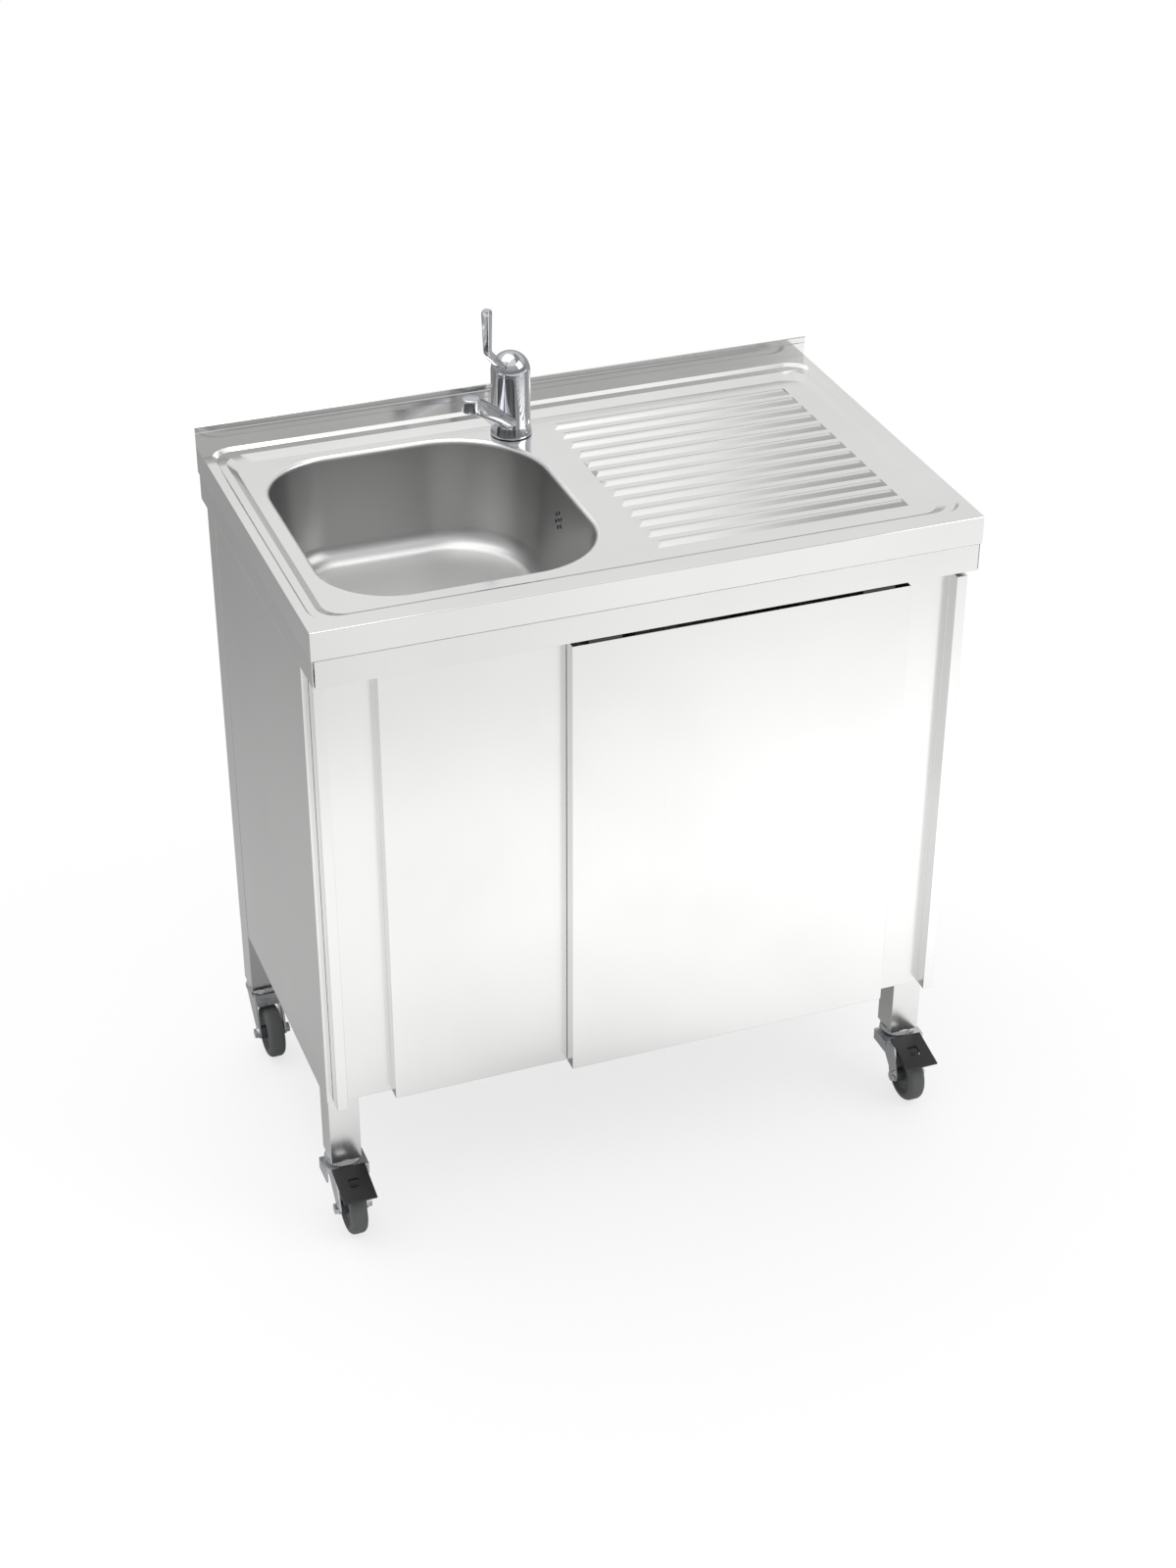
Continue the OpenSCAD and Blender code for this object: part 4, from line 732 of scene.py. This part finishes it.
# %% [markdown]
# ## The dome
# The dome is a turned shell, 3 mm thick, which sits on the spigot and turns for warm and cold. Its outer
# and inner curves are arcs, flattened a little at the top. The CAD model's dome has a slot for the lever.
# The photograph shows none, only the lever's root against the dome, so this shell is left whole, and the
# lever's root passes through it.

# %% Dome
SEAM_GAP = 0.3
DOME_WALL = 3
SOCKET_RADIUS = SPIGOT_RADIUS + 0.05
shell = [(SOCKET_RADIUS, SEAM_GAP), (BARREL_RADIUS, SEAM_GAP)]
shell += arc(BARREL_RADIUS, range(3, 84, 3))
shell += [(2.0, 23.86), (0, 23.86), (0, 20.9)]
shell += arc(BARREL_RADIUS - DOME_WALL, range(84, 13, -5))
shell += [(SOCKET_RADIUS, 5)]
dome = turned("tap_dome_shell", shell, at_tap(0, 0, SEAM_HEIGHT), segments=128, smooth=35)
register(dome, "tap_dome")

# %% [markdown]
# ## The lever
# One forged bar: level at its root, then rising outwards, then upright as a flat grip. Its line has two
# rounded bends, with a row about every 3 mm. Each row is a squircle, square to the line. It is wide and
# flat at its root, slender in the rise, and grows towards the tip. The last row but one is drawn close
# to the last, which gives the tip a small round edge. A hub goes round the pin that it tilts on.

# %% Lever
PIN_HEIGHT = SEAM_HEIGHT + 9.5
LEVER_LINE = [(0, 0), (18.5, 0), (53, 31.5), (53.6, 85.5)]
LEVER_BEND = 6
LEVER_PITCH = 3
ROOT_HALF_HEIGHT, RISE_EXTRA_HEIGHT = 3, 1.5
RISE_HALF_WIDTH, ROOT_EXTRA_WIDTH = 4.0, 2.5
GRIP_EXTRA = 1.3
LEVER_SQUARENESS = 4.5
TIP_SHRINK = 0.86
bends = round_corner(LEVER_LINE, LEVER_BEND, steps=10)
path = [bends[0]]
for before, after in zip(bends, bends[1:]):
    parts = max(1, round((after - before).length / LEVER_PITCH))
    path += [before.lerp(after, (k + 1) / parts) for k in range(parts)]
rings = []
for k, at in enumerate(path):
    ahead = (path[min(k + 1, len(path) - 1)] - path[max(k - 1, 0)]).normalized()
    side = Vector((-ahead.y, ahead.x))
    grip = ramp(at.y, 30, 84)
    thick = ROOT_HALF_HEIGHT + RISE_EXTRA_HEIGHT * ramp(at.x, 25, 32) + GRIP_EXTRA * grip
    wide = RISE_HALF_WIDTH + ROOT_EXTRA_WIDTH * ramp(at.x, 41, 23) + GRIP_EXTRA * grip
    shrink = TIP_SHRINK if k == len(path) - 1 else 1.0
    outline = squircle(wide * shrink, thick * shrink, LEVER_SQUARENESS)
    rings.append([at_tap(at.x + side.x * b, a, PIN_HEIGHT + at.y + side.y * b) for a, b in outline])
rings[-2] = [low.lerp(high, 0.75) for low, high in zip(rings[-3], rings[-2])]
lever = loft("tap_lever_arm", rings, smooth=50)
register(lever, "tap_lever")

# %% Lever hub
LEVER_HALF_WIDTH = 6.5
PIN_HOLE_RADIUS = 2.05
HUB_RADIUS = 5
HUB_EDGE = 0.4
near_side = [(PIN_HOLE_RADIUS, -LEVER_HALF_WIDTH), (HUB_RADIUS - HUB_EDGE, -LEVER_HALF_WIDTH),
             (HUB_RADIUS, HUB_EDGE - LEVER_HALF_WIDTH)]
far_side = [(radius, -width) for radius, width in reversed(near_side)]
hub = turned("tap_lever_hub", near_side + far_side, at_tap(0, 0, PIN_HEIGHT),
             axis=ACROSS, outward=OUT, segments=64)
register(hub, "tap_lever")

# %% [markdown]
# ## The tyres
# A solid rubber tyre, 72 mm high, pressed on to its wheel centre. It is a turned form: a flat tread with
# two round shoulders and a small step at each side, which leaves a thin shadow line round the hub.

# %% Tyres
SHOULDER_RADIUS = 7
BEAD_RADIUS = 26
BEAD_STEP = 1.5
SIDE_EASE = 0.05
for name in sorted(n for n in frame["nodes"] if n.startswith("tyre_")):
    low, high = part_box(name)
    radius = (high.z - low.z) / 2 / MM
    half = (high.x - low.x) / 2 / MM
    shoulder = arc(SHOULDER_RADIUS, range(7, 85, 7))
    right_half = [(radius - SHOULDER_RADIUS + u, half - SHOULDER_RADIUS + v) for u, v in shoulder]
    right_half += [(BEAD_RADIUS + 1, half - SIDE_EASE), (BEAD_RADIUS, half - BEAD_STEP)]
    left_half = [(r, -width) for r, width in reversed(right_half)]
    profile = left_half + [(radius, 0)] + right_half
    tyre = turned(name + "_turned", profile, (low + high) / 2,
                  axis=RIGHT, outward=BACK, segments=128, smooth=50)
    register(tyre, name)

# %% [markdown]
# ## Finishing the CAD nodes
# The other CAD nodes have the right shape, but they come in as loose triangles with flat shading. A copy
# is merged, and where it gets a bevel, its flat faces are joined again. Folded sheet and moulded parts
# have eased edges that catch the light, so theirs get a small bevel, and all are shaded smooth where faces
# meet at a small angle. The shading that came with the triangles is cleared first, or it would show
# through.
# The copy then stands for its node.
#
# The worktop is one sheet with long folds and 13 pressed ribs whose ends have tiny edges. A bevel on
# every edge would be held back by the shortest one. So only the long folds are marked for it, by weight.
# The box behind the overflow holes is black inside, as painted shade, because the holes look black in the
# photograph.

# %% Finished copies
CAD_MERGE = 0.01 * MM
FOLD_ANGLE = math.radians(50)
EASED_ANGLE = math.radians(40)
FLAT_ANGLE = math.radians(0.6)
FLATTEST_ANGLE = math.radians(0.1)


def mark_long_folds(piece, least):
    mesh = bmesh.new()
    mesh.from_mesh(piece.data)
    weight = mesh.edges.layers.float.new("bevel_weight_edge")
    for edge in mesh.edges:
        if edge.calc_length() > least and edge.calc_face_angle(0) > FOLD_ANGLE:
            edge[weight] = 1.0
    mesh.to_mesh(piece.data)
    mesh.free()


def merged_copy(node, flat_angle):
    piece = frame["nodes"][node].copy()
    piece.data = piece.data.copy()
    piece.name = node + "_finished"
    for key in list(piece.keys()):
        del piece[key]
    piece.parent = None
    bpy.context.scene.collection.objects.link(piece)
    select_only(piece)
    bpy.ops.mesh.customdata_custom_splitnormals_clear()
    bpy.ops.object.mode_set(mode="EDIT")
    bpy.ops.mesh.select_all(action="SELECT")
    bpy.ops.mesh.remove_doubles(threshold=CAD_MERGE)
    bpy.ops.mesh.mark_sharp(clear=True)
    if flat_angle:
        bpy.ops.mesh.dissolve_limited(angle_limit=flat_angle)
    bpy.ops.object.mode_set(mode="OBJECT")
    return piece


def ease_edges(piece, width, folds):
    bevel = piece.modifiers.new("eased edge", "BEVEL")
    bevel.width = width
    bevel.segments = 2
    bevel.limit_method = "ANGLE"
    bevel.angle_limit = EASED_ANGLE
    if folds:
        mark_long_folds(piece, folds)
        bevel.limit_method = "WEIGHT"
        bevel.use_clamp_overlap = False
    bevel.harden_normals = not folds
    return bevel


def finished_copy(node, edge=0.0, smooth=32.0, finish=None, folds=0.0):
    """edge: width of the bevel. folds: only folds at least this long get it, where it is given."""
    flat_angle = 0
    if edge:
        flat_angle = FLATTEST_ANGLE if folds else FLAT_ANGLE
    piece = merged_copy(node, flat_angle)
    if edge:
        bevel = ease_edges(piece, edge, folds)
        bpy.ops.object.shade_smooth_by_angle(angle=math.radians(smooth))
        bpy.ops.object.modifier_apply(modifier=bevel.name)
    if folds or not edge:
        bpy.ops.object.shade_smooth_by_angle(angle=math.radians(smooth))
    register(piece, node, finish)


# %% The other nodes
SHEET_CARE = {"edge": 0.5 * MM, "smooth": 25}
DOOR_CARE = {"edge": 0.45 * MM, "smooth": 25}
CARE = {  # start of the node's name: how its copy is finished
    "worktop": {"edge": 0.8 * MM, "smooth": 8.3, "folds": 200 * MM},
    "fascia_frame": SHEET_CARE, "side_panel": SHEET_CARE, "rear_panel": SHEET_CARE,
    "bottom_shelf": SHEET_CARE, "left_door_panel": DOOR_CARE, "right_door_panel": DOOR_CARE,
    "leg_": {"edge": 0.3 * MM, "smooth": 40},
    "fork_": {"edge": 0.45 * MM, "smooth": 30},
    "pedal_": {"edge": 0.6 * MM, "smooth": 30},
    # Black plastic as painted shade inside the overflow holes.
    "overflow_housing": {"finish": cap_plastic},
}
for name in sorted(frame["nodes"]):
    if name not in DRESSED:
        care = [how for start, how in CARE.items() if name.startswith(start)]
        finished_copy(name, **(care[0] if care else {}))
print(len(DRESSED), "of", len(frame["nodes"]), "nodes dressed")
